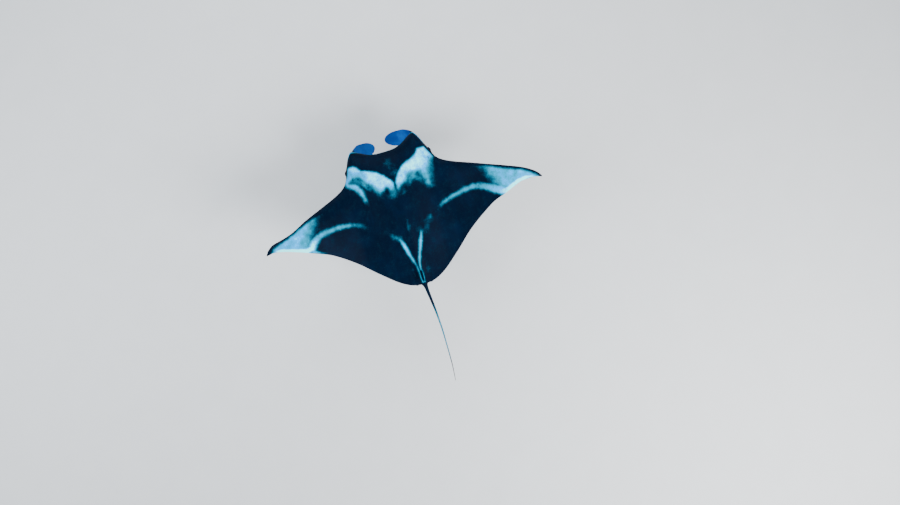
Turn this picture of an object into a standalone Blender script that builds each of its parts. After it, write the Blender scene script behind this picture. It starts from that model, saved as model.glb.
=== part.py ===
"""A life-size reef manta ray, gliding with its head fins unrolled, held up by a plain display stand.

The ray faces -Y, its left side is +X and +Z is up. The floor is z = 0, and the origin lies on it below the
middle of the ray's outline. Places along the body are given as "ahead", in metres forward of the disc's rear
edge, and places across it as "reach", in metres from the body's middle. The whole body is one closed surface,
laid over sections from wing tip to wing tip, and thin cuts then part it into its nodes.
"""

import functools
import math

import bmesh
import bpy
import numpy as np
from mathutils import Matrix, Vector

# Driving dimensions, in metres
TIP = 1.55  # reach of a wing tip
ORIGIN_AHEAD = 0.325
MID_HEIGHT = 0.68  # height of the body's mid plane
GAP = 0.0004  # clearance between neighbouring pieces
LEFT, RIGHT = 1, -1
SIDE_NAMES = {LEFT: "left", RIGHT: "right"}

# Outline seen from above, as (reach, ahead). The mouth's edge is hollow between the head's two corners.
HEAD_EDGE = {
    LEFT: ((0.0, 1.553), (0.10, 1.554), (0.19, 1.568), (0.28, 1.602), (0.35, 1.634), (0.377, 1.640),
           (0.402, 1.612), (0.428, 1.568), (0.464, 1.478), (0.505, 1.356)),
    RIGHT: ((0.0, 1.553), (0.09, 1.557), (0.16, 1.577), (0.25, 1.622), (0.31, 1.656), (0.335, 1.664),
            (0.362, 1.640), (0.394, 1.587), (0.42, 1.525), (0.45, 1.450), (0.48, 1.384), (0.505, 1.338)),
}
WING_FRONT = {
    LEFT: ((0.57, 1.270), (0.66, 1.212), (0.82, 1.135), (1.03, 1.042), (1.22, 0.948), (1.34, 0.914),
           (1.45, 0.890), (1.52, 0.845), (TIP, 0.805)),
    RIGHT: ((0.57, 1.278), (0.68, 1.219), (0.85, 1.146), (1.05, 1.062), (1.21, 0.998), (1.36, 0.936),
            (1.46, 0.880), (1.52, 0.832), (TIP, 0.791)),
}
DISC_REAR = ((0.0, 0.016), (0.11, 0.033), (0.22, 0.082), (0.44, 0.256), (0.66, 0.455), (0.88, 0.608))
WING_REAR = {
    LEFT: ((1.02, 0.668), (1.20, 0.737), (1.36, 0.788), (1.46, 0.806), (TIP, 0.795)),
    RIGHT: ((1.0, 0.676), (1.10, 0.710), (1.23, 0.763), (1.34, 0.797), (1.45, 0.801), (TIP, 0.780)),
}

# Heights and thicknesses, as (reach, size)
THICKNESS = ((0.0, 0.37), (0.15, 0.355), (0.30, 0.305), (0.40, 0.245), (0.46, 0.200), (0.52, 0.160),
             (0.60, 0.130), (0.75, 0.100), (1.0, 0.066), (1.25, 0.036), (1.45, 0.016), (TIP, 0.007))
NOSE = ((0.0, 0.44), (0.20, 0.41), (0.32, 0.33), (0.42, 0.25), (0.55, 0.22), (0.80, 0.17), (1.10, 0.12),
        (1.30, 0.08), (1.45, 0.04), (TIP, 0.006))
WING_LIFT = {
    LEFT: ((0.0, 0.0), (0.30, 0.0), (0.50, 0.028), (0.68, 0.115), (0.86, 0.215), (1.04, 0.290),
           (1.20, 0.320), (1.36, 0.298), (TIP, 0.215)),
    RIGHT: ((0.0, 0.0), (0.30, 0.0), (0.50, 0.028), (0.68, 0.115), (0.86, 0.220), (1.04, 0.300),
            (1.20, 0.337), (1.36, 0.330), (TIP, 0.270)),
}
TRAIL_DROP = ((0.0, 0.0), (0.35, 0.012), (0.70, 0.045), (1.1, 0.050), (TIP, 0.010))
TRAIL_HALF = ((0.0, 0.027), (0.0275, 0.023), (0.05, 0.012), (0.09, 0.006), (0.2, 0.004), (TIP, 0.0025))
UPPER_SHARE = 0.54
TAPER = 1.35

# Mouth
MOUTH_HALF = 0.25
MOUTH_GAPE = 0.046  # half its height at the middle
MOUTH_CORNER = 0.010  # half its height at the corners
MOUTH_DEPTH = 0.30
MOUTH_LEVEL = -0.020
JAW_SETBACK = 0.026

# Spacing of the sections, as (from, to, steps), and of the points round one
STATIONS = ((0.0, 0.14, 5), (0.14, 0.30, 4), (0.30, 0.505, 8), (0.505, 1.38, 8), (1.38, TIP, 4))
OUTER_POINTS = 13
INNER_POINTS = 3
CROWDING = 1.8

# Head fins, each a cupped blade that hangs from the head's front corner and curls in below the mouth
LOBE_ROOT_REACH = {LEFT: 0.374, RIGHT: 0.357}
LOBE_LENGTH = 0.535
LOBE_START = math.radians(-84)
LOBE_CURL = {LEFT: math.radians(-74), RIGHT: math.radians(-108)}
LOBE_AHEAD = {
    LEFT: ((0.0, 1.533), (0.25, 1.575), (0.6, 1.635), (1.0, 1.658)),
    RIGHT: ((0.0, 1.555), (0.25, 1.600), (0.6, 1.662), (1.0, 1.686)),
}
LOBE_WIDTH = ((0.0, 0.165), (0.25, 0.190), (0.5, 0.188), (0.75, 0.169), (0.917, 0.130), (1.0, 0.052))
LOBE_THICK = ((0.0, 0.085), (0.2, 0.048), (0.5, 0.020), (0.75, 0.012), (1.0, 0.007))
LOBE_CUP = 0.020

# Eyes
EYE_RADIUS = 0.030
EYE_AHEAD = 1.425
EYE_PROUD = 0.020  # of the head's side, and half as much of the mound round it
EYE_LEVEL = 0.012
MOUND_HEIGHT = 0.011
MOUND_SPREAD = 0.052

# Tail, as (ahead, size)
TAIL_REACH = ((-1.10, -0.022), (-0.88, -0.0385), (-0.55, -0.042), (-0.33, -0.033), (0.0, -0.004),
              (0.10, 0.0), (0.30, 0.0))
TAIL_LEVEL = ((-1.10, -0.050), (-0.60, -0.044), (-0.20, -0.016), (0.10, 0.0), (0.30, 0.004))
TAIL_HALF = ((-1.10, 0.0024), (-0.88, 0.0050), (-0.44, 0.0090), (-0.055, 0.0190), (0.12, 0.0300),
             (0.30, 0.0330))
TAIL_START = 0.26
TAIL_END = -1.10
TAIL_RINGS = 20

# Fins below and on the tail's root
PELVIC_ROOT = (0.036, 0.132)  # reach of its inner and outer edge
PELVIC_TIP = (0.052, 0.104)
PELVIC_START, PELVIC_END = 0.19, 0.022
PELVIC_LEVEL = (-0.022, -0.030)
PELVIC_THICK = (0.014, 0.006)
DORSAL_BASE = (0.062, 0.190)
DORSAL_APEX = (0.004, 0.034)
DORSAL_HEIGHT = 0.095
DORSAL_THICK = 0.015
DORSAL_SINK = 0.030
DORSAL_LEAN = 0.030

# Where the body is parted
NECK_AHEAD = 1.21
HEAD_HALF = 0.505
WING_PART = 1.0
TAIL_PARTS = {"base": (0.010, -0.27), "mid": (-0.27, -0.68), "tip": (-0.68, -1.2)}
PELVIC_PART = (0.125, -0.018)  # behind and below this, outside the tail, all is pelvic fin
TAIL_ROOM = 0.034
LOBE_PART = (1.49, -0.122)  # ahead of and below this, all is head fin
DORSAL_PART = 0.002  # above the ridge
FAR = 3.0

# Stand
BASE_SIZE = (0.80, 0.90, 0.030)
BASE_AHEAD = 0.95
BASE_CORNER = 0.14
ROD_RADIUS = 0.016
ROD_AHEAD = {"front": 1.10, "rear": 0.62}
ROD_SOCKET = 0.018
FLANGE_RADIUS = 0.048
FLANGE_HEIGHT = 0.014

FINISHES = {
    "skin": ((0.012, 0.030, 0.048), 0.42, 0.0),
    "eye": ((0.010, 0.012, 0.014), 0.12, 0.0),
    "base": ((0.055, 0.057, 0.060), 0.45, 0.0),
    "steel": ((0.560, 0.565, 0.570), 0.30, 1.0),
}


def through(points, at):
    """The size at a place on a smooth curve through (place, size) points, which never overshoots them."""
    x, y = np.array(points, float).T
    step = np.diff(x)
    slope = np.diff(y) / step
    turn = np.zeros(len(x))
    turn[0], turn[-1] = slope[0], slope[-1]
    for i in range(1, len(x) - 1):
        if slope[i - 1] * slope[i] > 0:
            turn[i] = 2 * slope[i - 1] * slope[i] / (slope[i - 1] + slope[i])
    at = min(max(at, x[0]), x[-1])
    i = int(np.clip(np.searchsorted(x, at) - 1, 0, len(step) - 1))
    t = (at - x[i]) / step[i]
    ends = y[i] * (1 + 2 * t) * (1 - t) ** 2 + y[i + 1] * t * t * (3 - 2 * t)
    return ends + step[i] * t * (1 - t) * (turn[i] * (1 - t) - turn[i + 1] * t)


def ease(low, high, at):
    """0 below low, 1 above high, and a smooth step between."""
    t = min(max((at - low) / (high - low), 0.0), 1.0)
    return t * t * (3 - 2 * t)


def between(first, last, share):
    """The size this share of the way from the first to the last."""
    return first + (last - first) * share


def place(across, ahead, level):
    """A point in the world from a place on the body; level is measured from the body's mid plane."""
    return Vector((across, ORIGIN_AHEAD - ahead, MID_HEIGHT + level))


def front_edge(reach, side):
    return through(HEAD_EDGE[side] + WING_FRONT[side], reach)


def rear_edge(reach, side):
    return through(DISC_REAR + WING_REAR[side], reach)


@functools.cache
def eye_seat(side):
    """Where the head's outline passes the eye, and the way out of the head there."""
    low, high = LOBE_ROOT_REACH[side], HEAD_HALF
    for _ in range(40):
        middle = (low + high) / 2
        if front_edge(middle, side) > EYE_AHEAD:
            low = middle
        else:
            high = middle
    slope = (front_edge(high + 0.01, side) - front_edge(high - 0.01, side)) / 0.02
    outward = Vector((-slope * side, -1.0, 0.0)).normalized()
    return place(side * high, EYE_AHEAD, EYE_LEVEL), outward


class Section:
    """The body's cut at one distance across, from the front edge to the rear edge and back."""

    def __init__(self, across):
        self.across = across
        side = LEFT if across > 0 else RIGHT
        reach = abs(across)
        self.front = front_edge(reach, side)
        self.chord = self.front - rear_edge(reach, side)
        self.nose = min(through(NOSE, reach), self.chord)
        thick = through(THICKNESS, reach)
        self.upper, self.lower = thick * UPPER_SHARE, thick * (1 - UPPER_SHARE)
        self.lift = through(WING_LIFT[side], reach)
        self.drop = through(TRAIL_DROP, reach)
        self.trail = through(TRAIL_HALF, reach)
        self.open = math.sqrt(max(0.0, 1 - (reach / MOUTH_HALF) ** 2))
        self.mouth_level = MOUTH_LEVEL * (1 - ease(0.20, 0.48, reach))
        gape = MOUTH_CORNER + (MOUTH_GAPE - MOUTH_CORNER) * self.open
        self.gape = min(gape, 0.5 * self.lower)

    def point(self, back, level):
        """A point of the skin, raised where it lies on the mound round an eye."""
        spot = place(self.across, self.front - back, level)
        side = LEFT if self.across > 0 else RIGHT
        seat, outward = eye_seat(side)
        near = (spot - seat).length / MOUND_SPREAD
        return spot + outward * MOUND_HEIGHT * math.exp(-near * near)

    def height(self, back, half):
        """Level of the skin this far back from the front edge; half is negative for the lower side."""
        share = back / self.chord
        inside = min(max(back / self.nose, 0.0), 1.0)
        swell = math.sqrt(1 - (1 - inside) ** 2)
        middle = self.lift - self.drop * share**2 + self.mouth_level * (1 - swell)
        body = abs(half) * swell * max(0.0, 1 - share * share) ** TAPER
        return middle + math.copysign(body + self.trail * share**3, half)

    def outer(self, half, setback):
        """Points along the upper or the lower skin, from its lip or front edge to the rear edge."""
        start = self.nose * (1 - math.sqrt(1 - (self.gape / abs(half)) ** 2))
        points = []
        for i in range(OUTER_POINTS):
            along = (i / (OUTER_POINTS - 1)) ** CROWDING
            back = start + (self.chord - start) * along
            shift = setback * (1 - ease(0.0, 0.45, back))
            points.append(self.point(back + shift, self.height(back, half)))
        return points

    def inner(self, half, setback):
        """Points from the mouth's back wall to the lip; beyond the mouth they close the front edge."""
        points = []
        for i in range(1, INNER_POINTS):
            turn = i / INNER_POINTS * math.pi / 2
            rise = self.gape * math.sin(turn)
            start = self.nose * (1 - math.sqrt(1 - (rise / abs(half)) ** 2))
            back = start + MOUTH_DEPTH * self.open * math.cos(turn) + setback * math.sin(turn)
            roof = rise * (1 + 0.55 * self.open * math.sin(2 * turn))
            points.append(self.point(back, self.lift + self.mouth_level + math.copysign(roof, half)))
        return points

    def ring(self):
        setback = JAW_SETBACK * self.open
        above = self.inner(self.upper, 0.0) + self.outer(self.upper, 0.0)
        below = self.inner(-self.lower, setback) + self.outer(-self.lower, setback)
        middle = self.point(MOUTH_DEPTH * self.open, self.lift + self.mouth_level)
        return [middle] + above + below[::-1]


def stations():
    """Reaches at which sections are laid, from the middle to a wing tip."""
    found = [0.0]
    for low, high, steps in STATIONS:
        found += [low + (high - low) * i / steps for i in range(1, steps + 1)]
    return found


def mesh_from_rings(name, rings):
    """One closed mesh over rings of as many points each, capped at both ends."""
    shell = bmesh.new()
    laid = [[shell.verts.new(point) for point in ring] for ring in rings]
    for one, other in zip(laid, laid[1:]):
        for i in range(len(one)):
            shell.faces.new((one[i - 1], one[i], other[i], other[i - 1]))
    shell.faces.new(laid[0])
    shell.faces.new(laid[-1])
    bmesh.ops.triangulate(shell, faces=shell.faces[:])
    bmesh.ops.recalc_face_normals(shell, faces=shell.faces)
    return mesh_from(shell, name)


def mesh_from(shell, name):
    mesh = bpy.data.meshes.new(name)
    shell.to_mesh(mesh)
    shell.free()
    return mesh


def add_object(name, mesh, finish="skin"):
    thing = bpy.data.objects.new(name, mesh)
    bpy.context.scene.collection.objects.link(thing)
    colour, roughness, metallic = FINISHES[finish]
    material = bpy.data.materials.new(name)
    material.use_nodes = True
    shader = material.node_tree.nodes["Principled BSDF"]
    shader.inputs["Base Color"].default_value = (*colour, 1.0)
    shader.inputs["Roughness"].default_value = roughness
    shader.inputs["Metallic"].default_value = metallic
    mesh.materials.clear()
    mesh.materials.append(material)
    mesh.shade_smooth()
    mesh.set_sharp_from_angle(angle=math.radians(35))
    return thing


def add_helper(name, mesh):
    """An object that only cuts or joins others."""
    helper = bpy.data.objects.new(name, mesh)
    bpy.context.scene.collection.objects.link(helper)
    helper.hide_render = True
    helper.display_type = "WIRE"
    return helper


def boolean(thing, operation, helper):
    modifier = thing.modifiers.new(f"{operation.lower()} {helper.name}", "BOOLEAN")
    modifier.operation = operation
    modifier.solver = "EXACT"
    modifier.object = helper


def box(name, low, high, turn=None):
    """A box helper between two places on the body, given as (across, ahead, level)."""
    shell = bmesh.new()
    bmesh.ops.create_cube(shell, size=1.0)
    corners = place(*low), place(*high)
    size = [abs(corners[0][i] - corners[1][i]) for i in range(3)]
    bmesh.ops.scale(shell, vec=size, verts=shell.verts)
    if turn:
        bmesh.ops.rotate(shell, matrix=turn, verts=shell.verts)
    bmesh.ops.translate(shell, vec=(corners[0] + corners[1]) / 2, verts=shell.verts)
    return add_helper(name, mesh_from(shell, name))


def blade_ring(lead, trail, normal, thick, cup=0.0, sides=10):
    """A lens-shaped ring between a leading and a trailing point; its edges stand cup towards the normal."""
    ring = []
    for i in range(sides):
        turn = 2 * math.pi * i / sides
        along = math.cos(turn)
        point = (lead + trail) / 2 + (lead - trail) / 2 * along
        ring.append(point + normal * (thick / 2 * math.sin(turn) + cup * along * along))
    return ring


def body_mesh():
    reaches = stations()
    across = [-reach for reach in reaches[:0:-1]] + reaches
    return mesh_from_rings("body", [Section(at).ring() for at in across])


def lobe_mesh(side, steps=12):
    """A head fin: its middle line turns steadily inwards as it goes down."""
    rings = []
    curl = LOBE_CURL[side]
    for i in range(steps + 1):
        share = i / steps
        heading = LOBE_START + curl * share
        bend = (math.sin(heading) - math.sin(LOBE_START)) / curl
        across = side * (LOBE_ROOT_REACH[side] + LOBE_LENGTH * bend)
        level = LOBE_LENGTH * (math.cos(LOBE_START) - math.cos(heading)) / curl
        half = through(LOBE_WIDTH, share) / 2
        ahead = through(LOBE_AHEAD[side], share)
        normal = Vector((math.sin(heading) * side, 0.0, -math.cos(heading)))
        lead = place(across, ahead + half, level)
        trail = place(across, ahead - half, level)
        cup = LOBE_CUP * ease(0, 0.3, share)
        rings.append(blade_ring(lead, trail, normal, through(LOBE_THICK, share), cup))
    return mesh_from_rings(f"lobe_{SIDE_NAMES[side]}", rings)


def tail_mesh(sides=8):
    rings = []
    for i in range(TAIL_RINGS + 1):
        share = i / TAIL_RINGS
        ahead = between(TAIL_START, TAIL_END, share)
        half = through(TAIL_HALF, ahead)
        middle = place(through(TAIL_REACH, ahead), ahead, through(TAIL_LEVEL, ahead))
        ring = []
        for k in range(sides):
            turn = 2 * math.pi * (k + 0.5) / sides
            ring.append(middle + Vector((half * math.cos(turn), 0, half * 0.85 * math.sin(turn))))
        rings.append(ring)
    return mesh_from_rings("tail", rings)


def pelvic_mesh(side, steps=7):
    """A small rounded fin that carries the disc on between its rear edge and the tail's root."""
    rings = []
    for i in range(steps + 1):
        share = i / steps
        ahead = between(PELVIC_START, PELVIC_END, math.sin(share * math.pi / 2))
        narrow = 0.1 + 0.9 * math.sqrt(max(0.0, 1 - ease(0.45, 1.0, share) ** 2))
        inner, outer = (between(root, tip, share) for root, tip in zip(PELVIC_ROOT, PELVIC_TIP))
        middle, half = (inner + outer) / 2, (outer - inner) / 2 * narrow
        level = between(*PELVIC_LEVEL, share)
        lead = place(side * (middle + half), ahead, level)
        trail = place(side * (middle - half), ahead, level)
        rings.append(blade_ring(lead, trail, Vector((0, 0, 1)), between(*PELVIC_THICK, share), sides=8))
    return mesh_from_rings(f"pelvic_{SIDE_NAMES[side]}", rings)


def ridge(ahead):
    """Level of the back along the body's middle."""
    middle = Section(0.0)
    return middle.height(middle.front - ahead, middle.upper)


def dorsal_mesh(steps=6):
    """The small fin on the tail's root, leaning back to a rounded tip."""
    rings = []
    floor = ridge(DORSAL_BASE[0]) - DORSAL_SINK
    for i in range(steps + 1):
        share = i / steps
        level = floor + (DORSAL_HEIGHT + DORSAL_SINK) * math.sin(share * math.pi / 2)
        lead = between(DORSAL_BASE[1], DORSAL_APEX[1], share**1.25)
        trail = between(DORSAL_BASE[0], DORSAL_APEX[0], share)
        thick = DORSAL_THICK * (1 - 0.55 * share)
        ends = place(0, lead, level), place(0, trail, level)
        rings.append(blade_ring(*ends, Vector((1, 0, 0)), thick, sides=8))
    return mesh_from_rings("dorsal", rings)


def ball_mesh(name, centre, radius):
    shell = bmesh.new()
    bmesh.ops.create_uvsphere(shell, u_segments=16, v_segments=10, radius=radius)
    bmesh.ops.translate(shell, vec=centre, verts=shell.verts)
    return mesh_from(shell, name)


def eye_centre(side):
    """The eye's middle, sunk in the side of the head."""
    seat, outward = eye_seat(side)
    return seat - outward * (EYE_RADIUS - EYE_PROUD)


def bar_mesh(name, radius, foot, height, bevel=0.0):
    """An upright round bar that stands on the point foot."""
    shell = bmesh.new()
    lift = Matrix.Translation(foot + Vector((0, 0, height / 2)))
    size = {"radius1": radius, "radius2": radius, "depth": height}
    bmesh.ops.create_cone(shell, cap_ends=True, segments=28, matrix=lift, **size)
    if bevel:
        rims = [edge for edge in shell.edges if edge.calc_face_angle() > 1.0]
        bmesh.ops.bevel(shell, geom=rims, offset=bevel, segments=2, affect="EDGES", profile=0.5)
    return mesh_from(shell, name)


def rod_foot(ahead):
    return place(0.0, ahead, BASE_SIZE[2] + GAP - MID_HEIGHT)


def rod_length(ahead):
    """From the base up into the socket in the belly."""
    middle = Section(0.0)
    belly = middle.height(middle.front - ahead, -middle.lower)
    return MID_HEIGHT + belly + ROD_SOCKET - rod_foot(ahead).z


def flesh():
    """The whole body in one piece, with its sockets for the eyes and for the stand's rods."""
    whole = add_helper("whole_body", body_mesh())
    for mesh in (tail_mesh(), dorsal_mesh(), lobe_mesh(LEFT), lobe_mesh(RIGHT)):
        boolean(whole, "UNION", add_helper(f"joined_{mesh.name}", mesh))
    for side, name in SIDE_NAMES.items():
        boolean(whole, "UNION", add_helper(f"joined_pelvic_{name}", pelvic_mesh(side)))
        socket = ball_mesh(f"socket_{name}", eye_centre(side), EYE_RADIUS + GAP)
        boolean(whole, "DIFFERENCE", add_helper(f"eye_socket_{name}", socket))
    for name, ahead in ROD_AHEAD.items():
        hole = bar_mesh(f"hole_{name}", ROD_RADIUS + GAP, rod_foot(ahead), rod_length(ahead) + GAP)
        boolean(whole, "DIFFERENCE", add_helper(f"rod_socket_{name}", hole))
    bpy.context.view_layer.update()
    return bpy.data.meshes.new_from_object(whole.evaluated_get(bpy.context.evaluated_depsgraph_get()))


def add_part(name, whole, inside, outside=()):
    """A node of the flesh: what lies inside the first helpers and outside the others."""
    piece = add_object(name, whole.copy())
    for helper in inside:
        boolean(piece, "INTERSECT", helper)
    for helper in outside:
        boolean(piece, "DIFFERENCE", helper)


def dorsal_wedge(name, above):
    """A box over the ridge, which parts the dorsal fin from it."""
    rear, front = DORSAL_BASE
    slope = math.atan2(ridge(front) - ridge(rear), front - rear)
    size = Vector((0.04, 0.26, 0.24))
    lean = Matrix.Rotation(-slope, 4, "X")
    seat = place(0.0, (rear + front) / 2, (ridge(rear) + ridge(front)) / 2 + above)
    shell = bmesh.new()
    bmesh.ops.create_cube(shell, size=1.0)
    bmesh.ops.scale(shell, vec=size, verts=shell.verts)
    bmesh.ops.translate(shell, vec=(0, DORSAL_LEAN, size.z / 2), verts=shell.verts)
    bmesh.ops.transform(shell, matrix=Matrix.Translation(seat) @ lean, verts=shell.verts)
    return add_helper(name, mesh_from(shell, name))


def part_body(whole):
    """Parts the flesh into head, trunk, fins and lengths of tail."""
    half = GAP / 2
    head = box("head_room", (-HEAD_HALF + half, NECK_AHEAD + half, -1), (HEAD_HALF - half, FAR, 1))
    trunk = box("trunk_room", (-HEAD_HALF + half, 0.0, -1), (HEAD_HALF - half, NECK_AHEAD - half, 1))
    fin = dorsal_wedge("dorsal_room", DORSAL_PART)
    clear_of_fin = dorsal_wedge("dorsal_clearance", DORSAL_PART - GAP)
    tail_front = TAIL_PARTS["base"][0]
    clear_of_tail = box("tail_clearance", (-TAIL_ROOM, -FAR, -0.1), (TAIL_ROOM, tail_front + half, 0.06))
    clear_of_pelvics, clear_of_lobes = [], []
    for side, name in SIDE_NAMES.items():
        ahead, level = PELVIC_PART
        low, high = (side * TAIL_ROOM, -0.1, -0.1), (side * 0.2, ahead, level)
        add_part(f"pelvic_fin_{name}", whole, [box(f"pelvic_room_{name}", low, high)])
        high = (side * 0.2, ahead + GAP, level + GAP)
        clear_of_pelvics.append(box(f"pelvic_clearance_{name}", low, high))
        ahead, level = LOBE_PART
        low, high = (side * 0.001, ahead, -0.6), (side * HEAD_HALF, FAR, level)
        add_part(f"cephalic_fin_{name}", whole, [box(f"lobe_room_{name}", low, high)])
        high = (side * HEAD_HALF, FAR, level + GAP)
        clear_of_lobes.append(box(f"lobe_clearance_{name}", low, high))
        low, high = (side * (HEAD_HALF + half), -FAR, -1), (side * (WING_PART - half), FAR, 1)
        add_part(f"pectoral_fin_{name}", whole, [box(f"wing_room_{name}", low, high)])
        low, high = (side * (WING_PART + half), -FAR, -1), (side * TIP * 2, FAR, 1)
        add_part(f"pectoral_tip_{name}", whole, [box(f"tip_room_{name}", low, high)])
    add_part("head", whole, [head], clear_of_lobes)
    add_part("trunk", whole, [trunk], [clear_of_fin, clear_of_tail, *clear_of_pelvics])
    add_part("dorsal_fin", whole, [fin])
    for name, (front, rear) in TAIL_PARTS.items():
        low, high = (-2 * TAIL_ROOM, rear + half, -0.1), (TAIL_ROOM, front - half, 0.06)
        add_part(f"tail_{name}", whole, [box(f"tail_room_{name}", low, high)], clear_of_pelvics)


def add_eyes():
    for side, name in SIDE_NAMES.items():
        add_object(f"eye_{name}", ball_mesh(f"ball_{name}", eye_centre(side), EYE_RADIUS), "eye")


def add_stand():
    """A flat base, and two rods that stand in flanges on it and end in shallow sockets in the belly."""
    shell = bmesh.new()
    bmesh.ops.create_cube(shell, size=1.0)
    bmesh.ops.scale(shell, vec=BASE_SIZE, verts=shell.verts)
    upright = [edge for edge in shell.edges if abs(edge.verts[0].co.z - edge.verts[1].co.z) > 0.01]
    bmesh.ops.bevel(shell, geom=upright, offset=BASE_CORNER, segments=9, affect="EDGES", profile=0.5)
    top = [edge for edge in shell.edges if all(vert.co.z > 0 for vert in edge.verts)]
    rim = [edge for edge in top if edge.calc_face_angle() > 1.0]
    bmesh.ops.bevel(shell, geom=rim, offset=0.006, segments=3, affect="EDGES", profile=0.5)
    bmesh.ops.translate(shell, vec=place(0, BASE_AHEAD, BASE_SIZE[2] / 2 - MID_HEIGHT), verts=shell.verts)
    add_object("stand_base", mesh_from(shell, "base"), "base")
    for name, ahead in ROD_AHEAD.items():
        foot = rod_foot(ahead)
        rod = bar_mesh(f"rod_{name}", ROD_RADIUS, foot, rod_length(ahead))
        add_object(f"stand_rod_{name}", rod, "steel")
        disc = bar_mesh(f"disc_{name}", FLANGE_RADIUS, foot, FLANGE_HEIGHT, 0.003)
        flange = add_object(f"stand_flange_{name}", disc, "steel")
        below = foot - Vector((0, 0, 0.01))
        bore = bar_mesh(f"bore_{name}", ROD_RADIUS + GAP, below, FLANGE_HEIGHT + 0.02)
        boolean(flange, "DIFFERENCE", add_helper(f"flange_bore_{name}", bore))


def main():
    for thing in list(bpy.data.objects):
        bpy.data.objects.remove(thing)
    part_body(flesh())
    add_eyes()
    add_stand()


main()
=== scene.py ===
"""Looks of a life-size reef manta ray: one skin over the flesh, glass eyes, and a plain display stand.

The ray faces -Y, its left side is +X and +Z is up. Places along the body are given as "ahead", in metres
forward of the disc's rear edge, and places across it as "reach", in metres from the body's middle, or as
"across", which is the same with the left side positive. Levels are metres above the body's middle plane.
"""

import logging
import math
from dataclasses import dataclass, field
from enum import Enum
from typing import Callable

import bpy
import numpy as np
from mathutils import Matrix, Vector
from mathutils.bvhtree import BVHTree


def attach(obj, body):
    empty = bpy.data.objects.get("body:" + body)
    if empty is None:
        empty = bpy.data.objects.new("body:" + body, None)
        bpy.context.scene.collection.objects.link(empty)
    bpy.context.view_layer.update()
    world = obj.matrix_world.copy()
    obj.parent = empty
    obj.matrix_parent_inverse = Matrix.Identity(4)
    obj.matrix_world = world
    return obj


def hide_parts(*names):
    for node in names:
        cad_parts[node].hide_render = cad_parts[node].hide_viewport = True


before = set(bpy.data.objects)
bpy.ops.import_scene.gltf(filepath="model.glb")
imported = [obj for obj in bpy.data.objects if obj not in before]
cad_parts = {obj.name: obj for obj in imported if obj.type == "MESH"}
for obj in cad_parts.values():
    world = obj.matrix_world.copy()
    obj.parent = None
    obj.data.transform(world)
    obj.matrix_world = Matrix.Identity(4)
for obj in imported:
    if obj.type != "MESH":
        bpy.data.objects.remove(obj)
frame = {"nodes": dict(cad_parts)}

LOG = logging.getLogger("manta")
Array = np.ndarray
Pair = tuple[float, float]
Line = tuple[Pair, ...]
Rows = tuple[tuple[float, float, float, float], ...]
Place = tuple[float, float, float]
Colour = tuple[float, float, float, float]
Socket = bpy.types.NodeSocket
Value = Socket | float | tuple[float, ...]
ORIGIN_AHEAD = 0.325  # how far ahead of the disc's rear edge the world's origin lies
MID_HEIGHT = 0.68  # of the body's middle plane above the floor
FORWARD, SIDEWAYS, UP = (0.0, -1.0, 0.0), (-1.0, 0.0, 0.0), (0.0, 0.0, 1.0)
NOT_PALE = -3.0  # the "pale" of skin that takes no marking
FINE = 4000  # samples of a line that is read closely


class Side(Enum):
    """A side of the ray, with its sign along X."""

    LEFT = 1
    RIGHT = -1

    @property
    def tag(self) -> str:
        """The side's word in piece names."""
        return self.name.lower()


@dataclass(frozen=True)
class Profile:
    """A smooth line through (place, size) points, which never overshoots them."""

    points: Line

    def at(self, place: Array | float) -> Array:
        """Reads the line.

        Args:
            place: where to read it; outside the points it keeps its end sizes.

        Returns:
            The sizes there.
        """
        x, y = np.array(self.points).T
        step = np.diff(x)
        slope = np.diff(y) / step
        turn = np.zeros(len(x))
        turn[0], turn[-1] = slope[0], slope[-1]
        same = slope[:-1] * slope[1:] > 0
        both = slope[:-1][same], slope[1:][same]
        turn[1:-1][same] = 2 * both[0] * both[1] / (both[0] + both[1])
        place = np.clip(place, x[0], x[-1])
        i = np.clip(np.searchsorted(x, place) - 1, 0, len(step) - 1)
        t = (place - x[i]) / step[i]
        ends = y[i] * (1 + 2 * t) * (1 - t) ** 2 + y[i + 1] * t * t * (3 - 2 * t)
        return ends + step[i] * t * (1 - t) * (turn[i] * (1 - t) - turn[i + 1] * t)


def ease(low: float, high: float, at: Array | float) -> Array:
    """Steps smoothly from 0 below low to 1 above high."""
    t = np.clip((np.asarray(at) - low) / (high - low), 0.0, 1.0)
    return t * t * (3 - 2 * t)


def band(rise: Pair, fall: Pair, at: Array | float) -> Array:
    """Steps smoothly from 0 to 1 over the rise, and back over the fall."""
    return ease(*rise, at) * (1 - ease(*fall, at))


def place(across: float, ahead: float, level: float) -> Vector:
    """The point at a place on the body: across, ahead and level."""
    return Vector((across, ORIGIN_AHEAD - ahead, MID_HEIGHT + level))


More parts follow.
